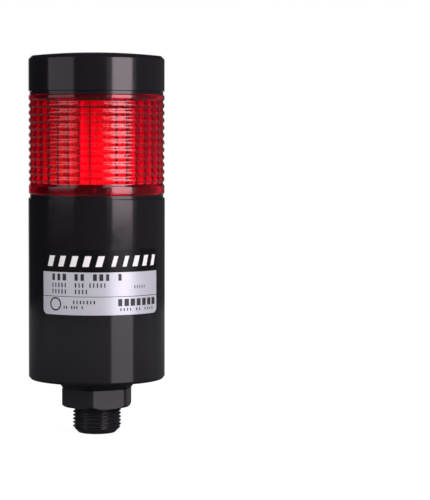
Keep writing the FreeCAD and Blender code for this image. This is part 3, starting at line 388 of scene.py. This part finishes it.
def new_group(name, inputs, output):
    """An empty geometry node group with named inputs; gives it, its inputs and its last node."""
    tree = bpy.data.node_groups.new(name, "GeometryNodeTree")
    tree.is_modifier = True
    for label, kind in inputs:
        tree.interface.new_socket(label, in_out="INPUT", socket_type="NodeSocket" + kind)
    tree.interface.new_socket(output, in_out="OUTPUT", socket_type="NodeSocketGeometry")
    return tree, tree.nodes.new("NodeGroupInput").outputs, tree.nodes.new("NodeGroupOutput")


def position(tree):
    """The place of each point, as its three parts."""
    place = add_node(tree, "GeometryNodeInputPosition").outputs[0]
    return add_node(tree, "ShaderNodeSeparateXYZ", {0: place}).outputs


def named(tree, label):
    """A value stored on the points under its name."""
    return add_node(tree, "GeometryNodeInputNamedAttribute", {"Name": label},
                    data_type="FLOAT").outputs[0]


printing, given, finished = new_group("printed_bars", (
    ("Marks", "Geometry"), ("Face Radius", "Float"), ("Ink Depth", "Float"),
    ("Unevenness", "Float"), ("Seed", "Int"), ("Ink", "Material")), "Print")
bar = add_node(printing, "GeometryNodeMeshCube", {
    "Size": (1.0, 1.0, 1.0), "Vertices X": 5, "Vertices Y": 2, "Vertices Z": 3})
jitter = add_node(printing, "FunctionNodeRandomValue", {
    2: calc(printing, "SUBTRACT", 1.0, given["Unevenness"]), 3: 1.0, "Seed": given["Seed"]},
    data_type="FLOAT").outputs[1]
size = add_node(printing, "ShaderNodeCombineXYZ", {
    0: calc(printing, "MULTIPLY", named(printing, "width"), jitter), 1: given["Ink Depth"],
    2: named(printing, "height")})
placing = add_node(printing, "GeometryNodeInstanceOnPoints", {
    "Points": given["Marks"], "Instance": bar.outputs["Mesh"], "Scale": size.outputs[0]})
keep = add_node(printing, "GeometryNodeStoreNamedAttribute", {
    "Geometry": placing.outputs[0], "Name": "level", "Value": position(printing)[2]},
    data_type="FLOAT", domain="INSTANCE")
real = add_node(printing, "GeometryNodeRealizeInstances", {"Geometry": keep.outputs[0]})
x, y, z = position(printing)
above = calc(printing, "SUBTRACT", z, named(printing, "level"))
along = calc(printing, "ADD", x, calc(printing, "MULTIPLY", named(printing, "slant"), above))
angle = calc(printing, "DIVIDE", along, given["Face Radius"])
radius = calc(printing, "SUBTRACT", given["Face Radius"], y)
ahead = calc(printing, "MULTIPLY", radius, calc(printing, "COSINE", angle))
bent = add_node(printing, "ShaderNodeCombineXYZ", {
    0: calc(printing, "MULTIPLY", radius, calc(printing, "SINE", angle)),
    1: calc(printing, "MULTIPLY", ahead, -1.0), 2: z})
wrapped = add_node(printing, "GeometryNodeSetPosition", {
    "Geometry": real.outputs[0], "Position": bent.outputs[0]})
inking = add_node(printing, "GeometryNodeSetMaterial", {
    "Geometry": wrapped.outputs[0], "Material": given["Ink"]})
printing.links.new(inking.outputs[0], finished.inputs[0])


def grown(name, mesh, tree, values):
    """The plain mesh that a node tree makes from the given mesh and values."""
    seed_piece = bpy.data.objects.new(name, mesh)
    bpy.context.scene.collection.objects.link(seed_piece)
    step = seed_piece.modifiers.new(tree.name, "NODES")
    step.node_group = tree
    for item in tree.interface.items_tree:
        if item.in_out == "INPUT" and item.name in values:
            step[item.identifier] = values[item.name]
    bpy.context.view_layer.update()
    result = seed_piece.evaluated_get(bpy.context.evaluated_depsgraph_get())
    made = bpy.data.meshes.new_from_object(result)
    seed_piece.modifiers.clear()
    bpy.data.objects.remove(seed_piece)
    return made


def printed_row(start, end, z, height, bar_width, gap, slant=0.0, breaks=()):
    """Bars of one line of print, from start to end along the plate, in millimetres."""
    marks = []
    x = start
    index = 0
    while x + bar_width <= end + 1e-6:
        if index not in breaks:
            marks.append((x + bar_width / 2, z, bar_width, height, slant))
        x += bar_width + gap
        index += 1
    return marks


def print_piece(name, marks, ink, seed, unevenness):
    """Printed bars on the face of the plate, as one piece."""
    mesh = bpy.data.meshes.new(name)
    mesh.from_pydata([(x * MM, 0.0, z * MM) for x, z, *rest in marks], [], [])
    for label, column in (("width", 2), ("height", 3), ("slant", 4)):
        layer = mesh.attributes.new(label, "FLOAT", "POINT")
        scale = 1.0 if label == "slant" else MM
        layer.data.foreach_set("value", [mark[column] * scale for mark in marks])
    made = grown(name, mesh, printing, {
        "Face Radius": PLATE_FACE, "Ink Depth": PRINT_DEPTH, "Unevenness": unevenness,
        "Seed": seed, "Ink": ink})
    piece = new_piece(name, made, ink)
    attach(piece, "base_unit")
    return piece


white_ink = print_finish("white_ink", (0.80, 0.80, 0.80), (0.72, 0.72, 0.73), roughness=0.35)
dark_ink = print_finish("dark_ink", (0.014, 0.014, 0.018), (0.030, 0.030, 0.036), roughness=0.42)
head_bars = [mark for line in HEAD_LINES for mark in printed_row(*line, slant=HEAD_SLANT)]
print_piece("plate_head_bars", head_bars, white_ink, seed=3, unevenness=0.35)
field_bars = [mark for *line, breaks in FIELD_LINES for mark in printed_row(*line, breaks=breaks)]
print_piece("plate_field_bars", field_bars, dark_ink, seed=8, unevenness=0.25)

ring_middle, ring_level, ring_reach, ring_line = RING_MARK
ring_inner = ring_reach - ring_line
ring_places = []
ring_facets = []
for step in range(RING_STEPS):
    turn = 2 * math.pi * step / RING_STEPS
    for reach, face in ((ring_reach, 1), (ring_inner, 1), (ring_inner, 0), (ring_reach, 0)):
        across = (ring_middle + reach * math.cos(turn)) * MM / PLATE_FACE
        radius = PLATE_FACE + (face - 0.5) * PRINT_DEPTH
        ring_places.append((radius * math.sin(across), -radius * math.cos(across),
                            (ring_level + reach * math.sin(turn)) * MM))
    for side in range(4):
        beside = (side + 1) % 4
        after = 4 * ((step + 1) % RING_STEPS)
        ring_facets.append((4 * step + side, 4 * step + beside, after + beside, after + side))
ring_mesh = bpy.data.meshes.new("plate_ring_mark")
ring_mesh.from_pydata(ring_places, [], ring_facets)
bm = bmesh.new()
bm.from_mesh(ring_mesh)
bmesh.ops.recalc_face_normals(bm, faces=bm.faces)
bm.to_mesh(ring_mesh)
bm.free()
ring_mark = new_piece("plate_ring_mark", ring_mesh, dark_ink)
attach(ring_mark, "base_unit")


# --- Deck
# Black ABS moulding pressed into the housing mouth: its flange shows as a thin line under the
# lens, and its bayonet ring takes the lens. A rubber ring and three screws seal and hold it.
deck = smooth_copy("body_deck", "deck_moulding", black_abs)
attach(deck, "base_unit")
dress(["deck_seal", "lens_seal"], seal_rubber)
dress(["deck_screws"], zinc_steel)


# --- Deck contact board
# Round glass-epoxy board pegged under the deck, with six springs of phosphor bronze riveted to
# it. They reach up through the deck to the pads under the light module.
def solder_mask(name, colour, copper):
    """Glossy solder mask over glass cloth; the copper tracks show through as lighter lines."""
    shade = tuple(0.8 * part for part in colour)
    material = finish(name, colour, shade, roughness=0.28, spread=0.07, grain=2200.0, depth=0.003)
    tree = material.node_tree
    place = add_node(tree, "ShaderNodeTexCoord").outputs["Object"]
    tracks = add_node(tree, "ShaderNodeTexBrick", {
        "Vector": place, "Scale": 210.0, "Mortar Size": 0.035, "Color1": (0, 0, 0, 1),
        "Color2": (0, 0, 0, 1), "Mortar": (1, 1, 1, 1)})
    overlay(tree, tracks.outputs["Color"], copper)
    return material


green_board = solder_mask("green_board", (0.012, 0.105, 0.030), (0.030, 0.190, 0.062))
bronze = finish("spring_bronze", (0.78, 0.56, 0.24), (0.66, 0.44, 0.17),
                roughness=0.26, spread=0.08, grain=3400.0, depth=0.002, Metallic=1.0)
dress(["deck_contact_board"], green_board)
dress(["deck_contacts"], bronze)


# --- Main board
# Glass-epoxy board in the housing's guides. It carries the wire terminals, a bridge rectifier,
# the flasher chip, a smoothing capacitor and three resistors, and plugs up into the deck board.
BAND_START = 0.86             # of the wave that paints the resistors' bands

package_epoxy = finish("package_epoxy", (0.012, 0.012, 0.013), (0.020, 0.020, 0.021),
                       roughness=0.48, spread=0.08, grain=3800.0, depth=0.010)
terminal_green = finish("terminal_green", (0.020, 0.200, 0.050), (0.026, 0.230, 0.062),
                        roughness=0.34, spread=0.06, grain=1500.0, depth=0.004)
can_sleeve = finish("can_sleeve", (0.018, 0.024, 0.060), (0.026, 0.032, 0.075),
                    roughness=0.36, spread=0.06, grain=1200.0, depth=0.003)
resistor_lacquer = finish("resistor_lacquer", (0.46, 0.30, 0.15), (0.40, 0.25, 0.12),
                          roughness=0.38, spread=0.08, grain=2600.0, depth=0.004)
tree = resistor_lacquer.node_tree
bands = add_node(tree, "ShaderNodeTexWave", {
    "Vector": add_node(tree, "ShaderNodeTexCoord").outputs["Object"], "Scale": 190.0},
    bands_direction="X").outputs["Fac"]
overlay(tree, calc(tree, "GREATER_THAN", bands, BAND_START), (0.10, 0.018, 0.012))
dress(["main_board"], green_board)
dress(["board_header", "bridge_rectifier", "flasher_chip"], package_epoxy)
dress(["terminal_block"], terminal_green)
dress(["terminal_screws"], zinc_steel)
dress(["resistors"], resistor_lacquer)
capacitor = smooth_copy("smoothing_capacitor", "capacitor_can", can_sleeve)
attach(capacitor, "base_unit")


# --- Lens
# Clear red polycarbonate, moulded in one: rounded ribs run round the outside, and 36 shallow
# flutes inside spread the light. Three lugs in its skirt lock under the deck's bayonet ring.
LENS_CREST = 28.0 * MM
LENS_BORE = 25.70 * MM
SKIRT_BORE = 25.50 * MM
SEAL_REBATE = 26.74 * MM
LENS_STEPS = 540              # steps round the tower
RIB_PITCH = 3.02 * MM
RIB_DEPTH = 0.55 * MM
RIB_COUNT = 11
RIB_ROWS = 10                 # rows of the mesh to a rib
FIRST_VALLEY = 4.58 * MM
FLUTE_COUNT = 36
FLUTE_DEPTH = 0.68 * MM
FLUTE_TURN = math.radians(89.0)         # two flutes meet 1 degree to the right of the front
FLUTE_END = 2.15 * MM         # from the rim down to the ends of the flutes
SKIRT_HEIGHT = 4.3 * MM
LUG_START = 1.33 * MM
LUG_HEIGHT = 1.4 * MM
LUG_REACH = 1.25 * MM
LUG_HALF_ARC = math.radians(6.2)
LUG_TURN = math.radians(30)
SEAL_CLEARANCE = 0.08 * MM
# Radius and height from the foot, and radius and depth from the rim, in millimetres.
FOOT_EDGE = ((26.74, 0.0), (27.60, 0.0), (27.66, 0.03), (27.97, 0.58), (28.0, 0.72))
RIM_EDGE = ((28.0, 0.46), (27.97, 0.34), (27.66, 0.03), (27.60, 0.0), (25.70, 0.0))
OUTER_SKIN = 0.02 * MM        # points this near the crest lie on the outside
WALL = 2.0 * MM               # and points this far within it on the inside
HAIR = 0.01 * MM              # height of a step in the section
STEP_MARGIN = 0.005 * MM      # added to the limits, so that a row on a limit counts
RIB_MARGIN = 0.001 * MM

lens_low, lens_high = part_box("lens")
_, seal_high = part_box("lens_seal")
lens_foot = lens_low.z
lens_rim = lens_high.z
rib_low = lens_foot + FIRST_VALLEY - RIB_PITCH / 2
rib_high = rib_low + (RIB_COUNT + 1) * RIB_PITCH
skirt_top = lens_foot + SKIRT_HEIGHT
flute_top = lens_rim - FLUTE_END
lug_low = lens_foot + LUG_START
lug_high = lug_low + LUG_HEIGHT
rebate = seal_high.z + SEAL_CLEARANCE
rib_rows = RIB_ROWS * (RIB_COUNT + 1)
section = [(reach * MM, lens_foot + rise * MM) for reach, rise in FOOT_EDGE]
section += [(LENS_CREST, rib_low + (rib_high - rib_low) * row / rib_rows)
            for row in range(rib_rows + 1)]
section += [(reach * MM, lens_rim - depth * MM) for reach, depth in RIM_EDGE]
section += [(LENS_BORE, z) for z in (flute_top + HAIR, flute_top, skirt_top)]
section += [(SKIRT_BORE, z) for z in (skirt_top - 2 * HAIR, lug_high + HAIR, lug_high,
                                      lug_low, lug_low - HAIR, rebate)]
section += [(SEAL_REBATE, rebate - HAIR)]

ribbing, given, finished = new_group("ribbed_lens", (
    ("Section", "Geometry"), ("Steps Round", "Int"), ("Section Points", "Int"),
    ("Crest Radius", "Float"), ("Rib Pitch", "Float"), ("Rib Depth", "Float"),
    ("Crest Land", "Float"), ("Root Land", "Float"), ("Rib Low", "Float"), ("Rib High", "Float"),
    ("Flutes", "Int"), ("Flute Depth", "Float"), ("Flute Bore", "Float"), ("Flute Low", "Float"),
    ("Flute High", "Float"), ("Lugs", "Int"), ("Lug Half Arc", "Float"), ("Lug Reach", "Float"),
    ("Lug Low", "Float"), ("Lug High", "Float"), ("Plastic", "Material")), "Lens")


def lens_sum(operation, *values):
    """One sum in the lens's node group."""
    return calc(ribbing, operation, *values)


def within(value, low, high):
    """1 where the value lies between the two limits, otherwise 0."""
    return lens_sum("MULTIPLY", lens_sum("GREATER_THAN", value, low),
                    lens_sum("LESS_THAN", value, high))


# A flat grid of points: one side becomes the turn round the tower, the other the section.
sheet = add_node(ribbing, "GeometryNodeMeshGrid", {
    "Size X": 1.0, "Size Y": 1.0, "Vertices X": lens_sum("ADD", given["Steps Round"], 1.0),
    "Vertices Y": lens_sum("ADD", given["Section Points"], 1.0)})
sheet_x, sheet_y, _ = position(ribbing)
turn = lens_sum("MULTIPLY", lens_sum("ADD", sheet_x, 0.5), 2 * math.pi)
order = lens_sum("MULTIPLY", lens_sum("ADD", sheet_y, 0.5), given["Section Points"])
order = lens_sum("MODULO", lens_sum("ROUND", order), given["Section Points"])
drawn = add_node(ribbing, "GeometryNodeSampleIndex", {
    "Geometry": given["Section"], "Index": order,
    "Value": add_node(ribbing, "GeometryNodeInputPosition").outputs[0]},
    data_type="FLOAT_VECTOR", domain="POINT")
reach, _, rise = add_node(ribbing, "ShaderNodeSeparateXYZ", {0: drawn.outputs[0]}).outputs

# Ribs, with a flat land on each crest and in each root.
skin = lens_sum("SUBTRACT", given["Crest Radius"], OUTER_SKIN)
ribbed = lens_sum("MULTIPLY", lens_sum("GREATER_THAN", reach, skin),
                  within(rise, given["Rib Low"], given["Rib High"]))
phase = lens_sum("DIVIDE", lens_sum("SUBTRACT", rise, given["Rib Low"]), given["Rib Pitch"])
from_crest = lens_sum("PINGPONG", lens_sum("MULTIPLY", phase, 2.0), 1.0)
flank = add_node(ribbing, "ShaderNodeMapRange", {
    "Value": from_crest, "From Min": given["Crest Land"],
    "From Max": lens_sum("SUBTRACT", 1.0, given["Root Land"])},
    interpolation_type="SMOOTHSTEP").outputs[0]
cut_in = lens_sum("MULTIPLY", ribbed, lens_sum("MULTIPLY", flank, given["Rib Depth"]))

# Flutes, each an arc that bulges in from the bore.
inside = lens_sum("LESS_THAN", reach, lens_sum("SUBTRACT", given["Crest Radius"], WALL))
fluted = lens_sum("MULTIPLY", inside, within(rise, given["Flute Low"], given["Flute High"]))
half_flute = lens_sum("DIVIDE", math.pi, given["Flutes"])
across = lens_sum("SUBTRACT", lens_sum("ADD", turn, FLUTE_TURN), half_flute)
across = lens_sum("WRAP", across, half_flute, lens_sum("MULTIPLY", half_flute, -1.0))
across = lens_sum("MULTIPLY", across, given["Flute Bore"])
half_chord = lens_sum("MULTIPLY", half_flute, given["Flute Bore"])
square = lens_sum("ADD", lens_sum("POWER", half_chord, 2.0),
                  lens_sum("POWER", given["Flute Depth"], 2.0))
round_of = lens_sum("DIVIDE", square, lens_sum("MULTIPLY", given["Flute Depth"], 2.0))
bulge = lens_sum("SQRT", lens_sum("SUBTRACT", lens_sum("POWER", round_of, 2.0),
                                  lens_sum("POWER", across, 2.0)))
bulge = lens_sum("ADD", lens_sum("SUBTRACT", bulge, round_of), given["Flute Depth"])
stand_in = lens_sum("MULTIPLY", fluted, bulge)

# Lugs in the skirt.
third = lens_sum("DIVIDE", 2 * math.pi, given["Lugs"])
from_lug = lens_sum("WRAP", lens_sum("SUBTRACT", turn, LUG_TURN),
                    lens_sum("DIVIDE", third, 2.0), lens_sum("DIVIDE", third, -2.0))
from_lug = lens_sum("ABSOLUTE", from_lug)
lugged = lens_sum("MULTIPLY", within(rise, given["Lug Low"], given["Lug High"]), inside)
lugged = lens_sum("MULTIPLY", lugged, lens_sum("LESS_THAN", from_lug, given["Lug Half Arc"]))
radius = lens_sum("SUBTRACT", reach, lens_sum("ADD", cut_in, stand_in))
radius = lens_sum("SUBTRACT", radius, lens_sum("MULTIPLY", lugged, given["Lug Reach"]))
round_place = add_node(ribbing, "ShaderNodeCombineXYZ", {
    0: lens_sum("MULTIPLY", radius, lens_sum("COSINE", turn)),
    1: lens_sum("MULTIPLY", radius, lens_sum("SINE", turn)), 2: rise})
bent = add_node(ribbing, "GeometryNodeSetPosition", {
    "Geometry": sheet.outputs["Mesh"], "Position": round_place.outputs[0]})
closed = add_node(ribbing, "GeometryNodeMergeByDistance", {
    "Geometry": bent.outputs[0], "Distance": 0.002 * MM})
plastic = add_node(ribbing, "GeometryNodeSetMaterial", {
    "Geometry": closed.outputs[0], "Material": given["Plastic"]})
ribbing.links.new(plastic.outputs[0], finished.inputs[0])

red_lens = bpy.data.materials.new("red_lens")
red_lens.use_nodes = True
tree = red_lens.node_tree
shader = tree.nodes["Principled BSDF"]
shader.inputs["Base Color"].default_value = (0.97, 0.003, 0.052, 1.0)
shader.inputs["Transmission Weight"].default_value = 0.988      # a trace of milkiness
shader.inputs["IOR"].default_value = 1.585
haze = ranged(tree, noise(tree, scale=160.0, detail=5.0), *NOISE_SPAN, start=0.06, end=0.10)
tree.links.new(haze, shader.inputs["Roughness"])
waves = relief(tree, noise(tree, scale=420.0, detail=2.0), depth=0.0025)
tree.links.new(waves, shader.inputs["Normal"])
rays = add_node(tree, "ShaderNodeLightPath").outputs
passing = add_node(tree, "ShaderNodeBsdfTransparent", {"Color": (1.0, 0.12, 0.35, 1.0)})
through = add_node(tree, "ShaderNodeMixShader", {
    0: calc(tree, "MAXIMUM", rays["Is Shadow Ray"], rays["Is Diffuse Ray"]),
    1: shader.outputs[0], 2: passing.outputs[0]})
tree.links.new(through.outputs[0], tree.nodes["Material Output"].inputs["Surface"])

section_mesh = bpy.data.meshes.new("lens_section")
section_mesh.from_pydata([(reach_at, 0.0, z_at) for reach_at, z_at in section], [], [])
lens_mesh = grown("lens_section", section_mesh, ribbing, {
    "Steps Round": LENS_STEPS, "Section Points": len(section), "Crest Radius": LENS_CREST,
    "Rib Pitch": RIB_PITCH, "Rib Depth": RIB_DEPTH, "Crest Land": 0.23, "Root Land": 0.12,
    "Rib Low": rib_low - RIB_MARGIN, "Rib High": rib_high + RIB_MARGIN,
    "Flutes": FLUTE_COUNT, "Flute Depth": FLUTE_DEPTH, "Flute Bore": LENS_BORE,
    "Flute Low": skirt_top - STEP_MARGIN, "Flute High": flute_top + STEP_MARGIN,
    "Lugs": 3, "Lug Half Arc": LUG_HALF_ARC, "Lug Reach": LUG_REACH,
    "Lug Low": lug_low - STEP_MARGIN, "Lug High": lug_high + STEP_MARGIN, "Plastic": red_lens})
bm = bmesh.new()
bm.from_mesh(lens_mesh)
bmesh.ops.recalc_face_normals(bm, faces=bm.faces)
bm.to_mesh(lens_mesh)
bm.free()
lens = new_piece("ribbed_lens", lens_mesh, red_lens)
turned_normals(lens_mesh, limit=30.0)
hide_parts("lens")
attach(lens, "light_module")


# --- Light engine
# White mouldings and white-faced boards inside the lens: a dished base, a square column with a
# board of four lamps on each side, and the contact board on top of it.
white_moulding = finish("white_moulding", (0.90, 0.89, 0.87), (0.86, 0.85, 0.82),
                        roughness=0.42, spread=0.08, grain=700.0, depth=0.006)
white_mask = solder_mask("white_board", (0.88, 0.88, 0.86), (0.82, 0.83, 0.82))
lamp_resin = finish("lamp_resin", (0.82, 0.62, 0.16), (0.76, 0.56, 0.13),
                    roughness=0.30, spread=0.06, grain=1200.0, depth=0.004)
for node, name, material, place in (
        ("module_base", "module_base_moulding", white_moulding, "white_moulding"),
        ("led_column", "lamp_column", white_moulding, "white_moulding"),
        ("base_board", "lamp_base_board", white_mask, "white_board")):
    piece = smooth_copy(node, name, material)
    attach(piece, "light_module")
dress(["led_boards"], white_mask)
dress(["leds"], lamp_resin)
dress(["top_contact_board"], white_mask)
dress(["base_contacts", "top_contacts"], bronze)
dress(["module_screws"], zinc_steel)


# --- Module top
# Black ABS moulding that closes the lens: its flange shows as a thin line under the cap, and
# its bayonet ring takes the cap or the next tier.
module_top = smooth_copy("module_top", "module_top_moulding", black_abs)
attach(module_top, "light_module")
dress(["cap_seal"], seal_rubber)


# --- Cap
# Black ABS moulding with a low crown, bevelled shoulder and ribbed inside. It drops over the
# module's bayonet ring and turns to lock. Its wall is polished, its crown spark-eroded to a matt.
CROWN_ROUGHNESS = 0.42        # more than the wall's
CROWN_SPECULAR = 0.4          # less than the wall's

matt_crown = black_finish("black_abs_matt_crown", *POLISHED_ABS)
tree = matt_crown.node_tree
shader = tree.nodes["Principled BSDF"]
upward = add_node(tree, "ShaderNodeSeparateXYZ", {
    0: add_node(tree, "ShaderNodeNewGeometry").outputs["True Normal"]}).outputs[2]
crown = ranged(tree, upward, 0.95, 0.99)
polish = shader.inputs["Roughness"].links[0].from_socket
rough = calc(tree, "ADD", polish, calc(tree, "MULTIPLY", crown, CROWN_ROUGHNESS))
shine = calc(tree, "SUBTRACT", 0.5, calc(tree, "MULTIPLY", crown, CROWN_SPECULAR))
tree.links.new(rough, shader.inputs["Roughness"])
tree.links.new(shine, shader.inputs["Specular IOR Level"])
cap = smooth_copy("head_cap", "cap_moulding", matt_crown)
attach(cap, "head")


# --- Studio
# A white table with a faint shadow in a white room, three soft boxes on the right, a dim card
# below the table's level, and two soft boxes on the left. The camera is level with the lens.
TABLE_RADIUS = 0.6
TABLE_SIDES = 96
TABLE_GAP = 0.0002            # metres below the stem's tip
TABLE_GREY = 0.12
TABLE_SEEN = 0.93             # glow of the table as the camera sees it
TABLE_THROUGH = 0.3           # and as it shows through the lens
TABLE_CLEAR = 0.6             # share of it that the gloss of the tower looks through
ROOM = 0.06                   # room mirrored by the gloss, more to the right and to the front
ROOM_RIGHT = 0.05
ROOM_FRONT = 0.02
ROOM_LIGHT = 0.8              # light of the room on matt surfaces
CAMERA_TURN = 4.7             # degrees to the left of the front
CAMERA_REACH = 0.828          # metres from the tower's axis
CAMERA_HEIGHT = 0.1153
CAMERA_AIM = 3.384            # degrees that it looks past the tower, to the right of it
CAMERA_TILT = 3.507           # degrees that it looks down
CAMERA_ROLL = 0.14
FOCAL_LENGTH = 144.3
FILM_WIDTH = 36.0
# Name, turn from the front to the right in degrees, distance, foot, top and width in metres,
# radiance and colour.
SOFT_BOXES = (
    ("right_strip", 39.0, 1.0, 0.036, 1.45, 0.64, 4.7, (1.0, 0.85, 0.92)),
    ("right_veil", 38.0, 1.02, 0.036, 1.45, 1.00, 0.5, (1.0, 0.93, 1.0)),
    ("right_card", 38.5, 1.0, -0.24, -0.02, 0.70, 2.5, (1.0, 0.94, 1.0)),
    ("right_overhead", 32.5, 1.02, 0.90, 1.55, 0.92, 4.2, (1.0, 0.90, 1.0)),
    ("left_box", -67.4, 1.0, 0.055, 0.32, 0.92, 0.85, (1.0, 0.93, 0.95)),
    ("left_bank", -62.0, 1.0, 0.32, 1.40, 0.70, 1.8, (1.0, 0.93, 0.95)))
ONLY_MIRRORED = ("right_overhead",)

table_level = cad_box[0].z - TABLE_GAP
floor_mesh = grid_mesh(2, TABLE_SIDES, lambda row, angle: (
    TABLE_RADIUS * row * math.cos(angle), TABLE_RADIUS * row * math.sin(angle), table_level))
table = bpy.data.materials.new("white_table")
table.use_nodes = True
tree = table.node_tree
rays = add_node(tree, "ShaderNodeLightPath").outputs
matt = add_node(tree, "ShaderNodeBsdfDiffuse", {
    "Color": (TABLE_GREY, TABLE_GREY, TABLE_GREY, 1.0)})
spot = add_node(tree, "ShaderNodeTexCoord").outputs["Object"]
away = add_node(tree, "ShaderNodeVectorMath", {0: spot}, operation="LENGTH").outputs["Value"]
back = add_node(tree, "ShaderNodeSeparateXYZ", {0: spot}).outputs[1]
sheen = calc(tree, "MULTIPLY", ranged(tree, away, 0.10, 0.38, start=0.06, end=0.52),
             ranged(tree, back, 0.0, 0.15, start=1.0, end=0.4))
seen = calc(tree, "MULTIPLY", rays["Is Camera Ray"], TABLE_SEEN)
mirrored = calc(tree, "MULTIPLY", rays["Is Glossy Ray"], sheen)
shown = calc(tree, "MULTIPLY", rays["Is Transmission Ray"], TABLE_THROUGH)
glow = add_node(tree, "ShaderNodeEmission", {
    "Strength": calc(tree, "ADD", seen, calc(tree, "ADD", mirrored, shown))})
lit = add_node(tree, "ShaderNodeAddShader", {0: matt.outputs[0], 1: glow.outputs[0]})
clear = add_node(tree, "ShaderNodeBsdfTransparent")
thin = add_node(tree, "ShaderNodeMixShader", {
    0: calc(tree, "MULTIPLY", rays["Is Glossy Ray"], TABLE_CLEAR),
    1: lit.outputs[0], 2: clear.outputs[0]})
tree.links.new(thin.outputs[0], tree.nodes["Material Output"].inputs["Surface"])
floor = new_piece("white_table", floor_mesh, table)

world = bpy.data.worlds.new("studio")
bpy.context.scene.world = world
world.use_nodes = True
tree = world.node_tree
for old in list(tree.nodes):
    tree.nodes.remove(old)
rays = add_node(tree, "ShaderNodeLightPath").outputs
toward = add_node(tree, "ShaderNodeSeparateXYZ", {
    0: add_node(tree, "ShaderNodeTexCoord").outputs["Generated"]}).outputs
behind = ranged(tree, toward["Y"], 0.955, 0.992)
wide = ranged(tree, toward["X"], 0.35, 0.65, start=0.14, end=0.48)
steep = ranged(tree, calc(tree, "ABSOLUTE", toward["Z"]), 0.10, 0.30, start=1.0, end=0.2)
room = calc(tree, "ADD", ROOM, calc(tree, "MULTIPLY", toward["X"], ROOM_RIGHT))
room = calc(tree, "SUBTRACT", room, calc(tree, "MULTIPLY", toward["Y"], ROOM_FRONT))
glossy = calc(tree, "MAXIMUM", calc(tree, "MULTIPLY", room, steep), behind)
level = calc(tree, "MULTIPLY", rays["Is Glossy Ray"], glossy)
level = calc(tree, "ADD", level, calc(tree, "MULTIPLY", rays["Is Transmission Ray"], wide))
level = calc(tree, "ADD", level, rays["Is Camera Ray"])
level = calc(tree, "ADD", level, calc(tree, "MULTIPLY", rays["Is Diffuse Ray"], ROOM_LIGHT))
light = add_node(tree, "ShaderNodeBackground", {
    "Color": (1.0, 1.0, 1.0, 1.0), "Strength": level})
add_node(tree, "ShaderNodeOutputWorld", {"Surface": light.outputs[0]})

for name, azimuth, distance, low, high, width, radiance, colour in SOFT_BOXES:
    lamp = bpy.data.lights.new(name, "AREA")
    lamp.shape = "RECTANGLE"
    lamp.size = width
    lamp.size_y = high - low
    lamp.energy = radiance * math.pi * width * (high - low)
    lamp.color = colour
    box = bpy.data.objects.new(name, lamp)
    bpy.context.scene.collection.objects.link(box)
    turn = math.radians(azimuth)
    box.location = (distance * math.sin(turn), -distance * math.cos(turn), (low + high) / 2)
    inward = Vector((-math.sin(turn), math.cos(turn), 0.0))
    box.rotation_euler = inward.to_track_quat("-Z", "Y").to_euler()
    if name in ONLY_MIRRORED:
        box.visible_diffuse = False
        box.visible_transmission = False

lens_data = bpy.data.cameras.new("camera")
lens_data.lens = FOCAL_LENGTH
lens_data.sensor_width = FILM_WIDTH
camera = bpy.data.objects.new("camera", lens_data)
bpy.context.scene.collection.objects.link(camera)
stand = math.radians(CAMERA_TURN)
camera.location = (-CAMERA_REACH * math.sin(stand), -CAMERA_REACH * math.cos(stand), CAMERA_HEIGHT)
heading = stand + math.radians(CAMERA_AIM)
tilt = math.radians(CAMERA_TILT)
aim = Vector((math.sin(heading) * math.cos(tilt), math.cos(heading) * math.cos(tilt),
              -math.sin(tilt)))
level_view = aim.to_track_quat("-Z", "Y")
roll = Quaternion((0.0, 0.0, 1.0), math.radians(CAMERA_ROLL))
camera.rotation_euler = (level_view @ roll).to_euler()
bpy.context.scene.camera = camera
bpy.context.scene.view_settings.view_transform = "Standard"
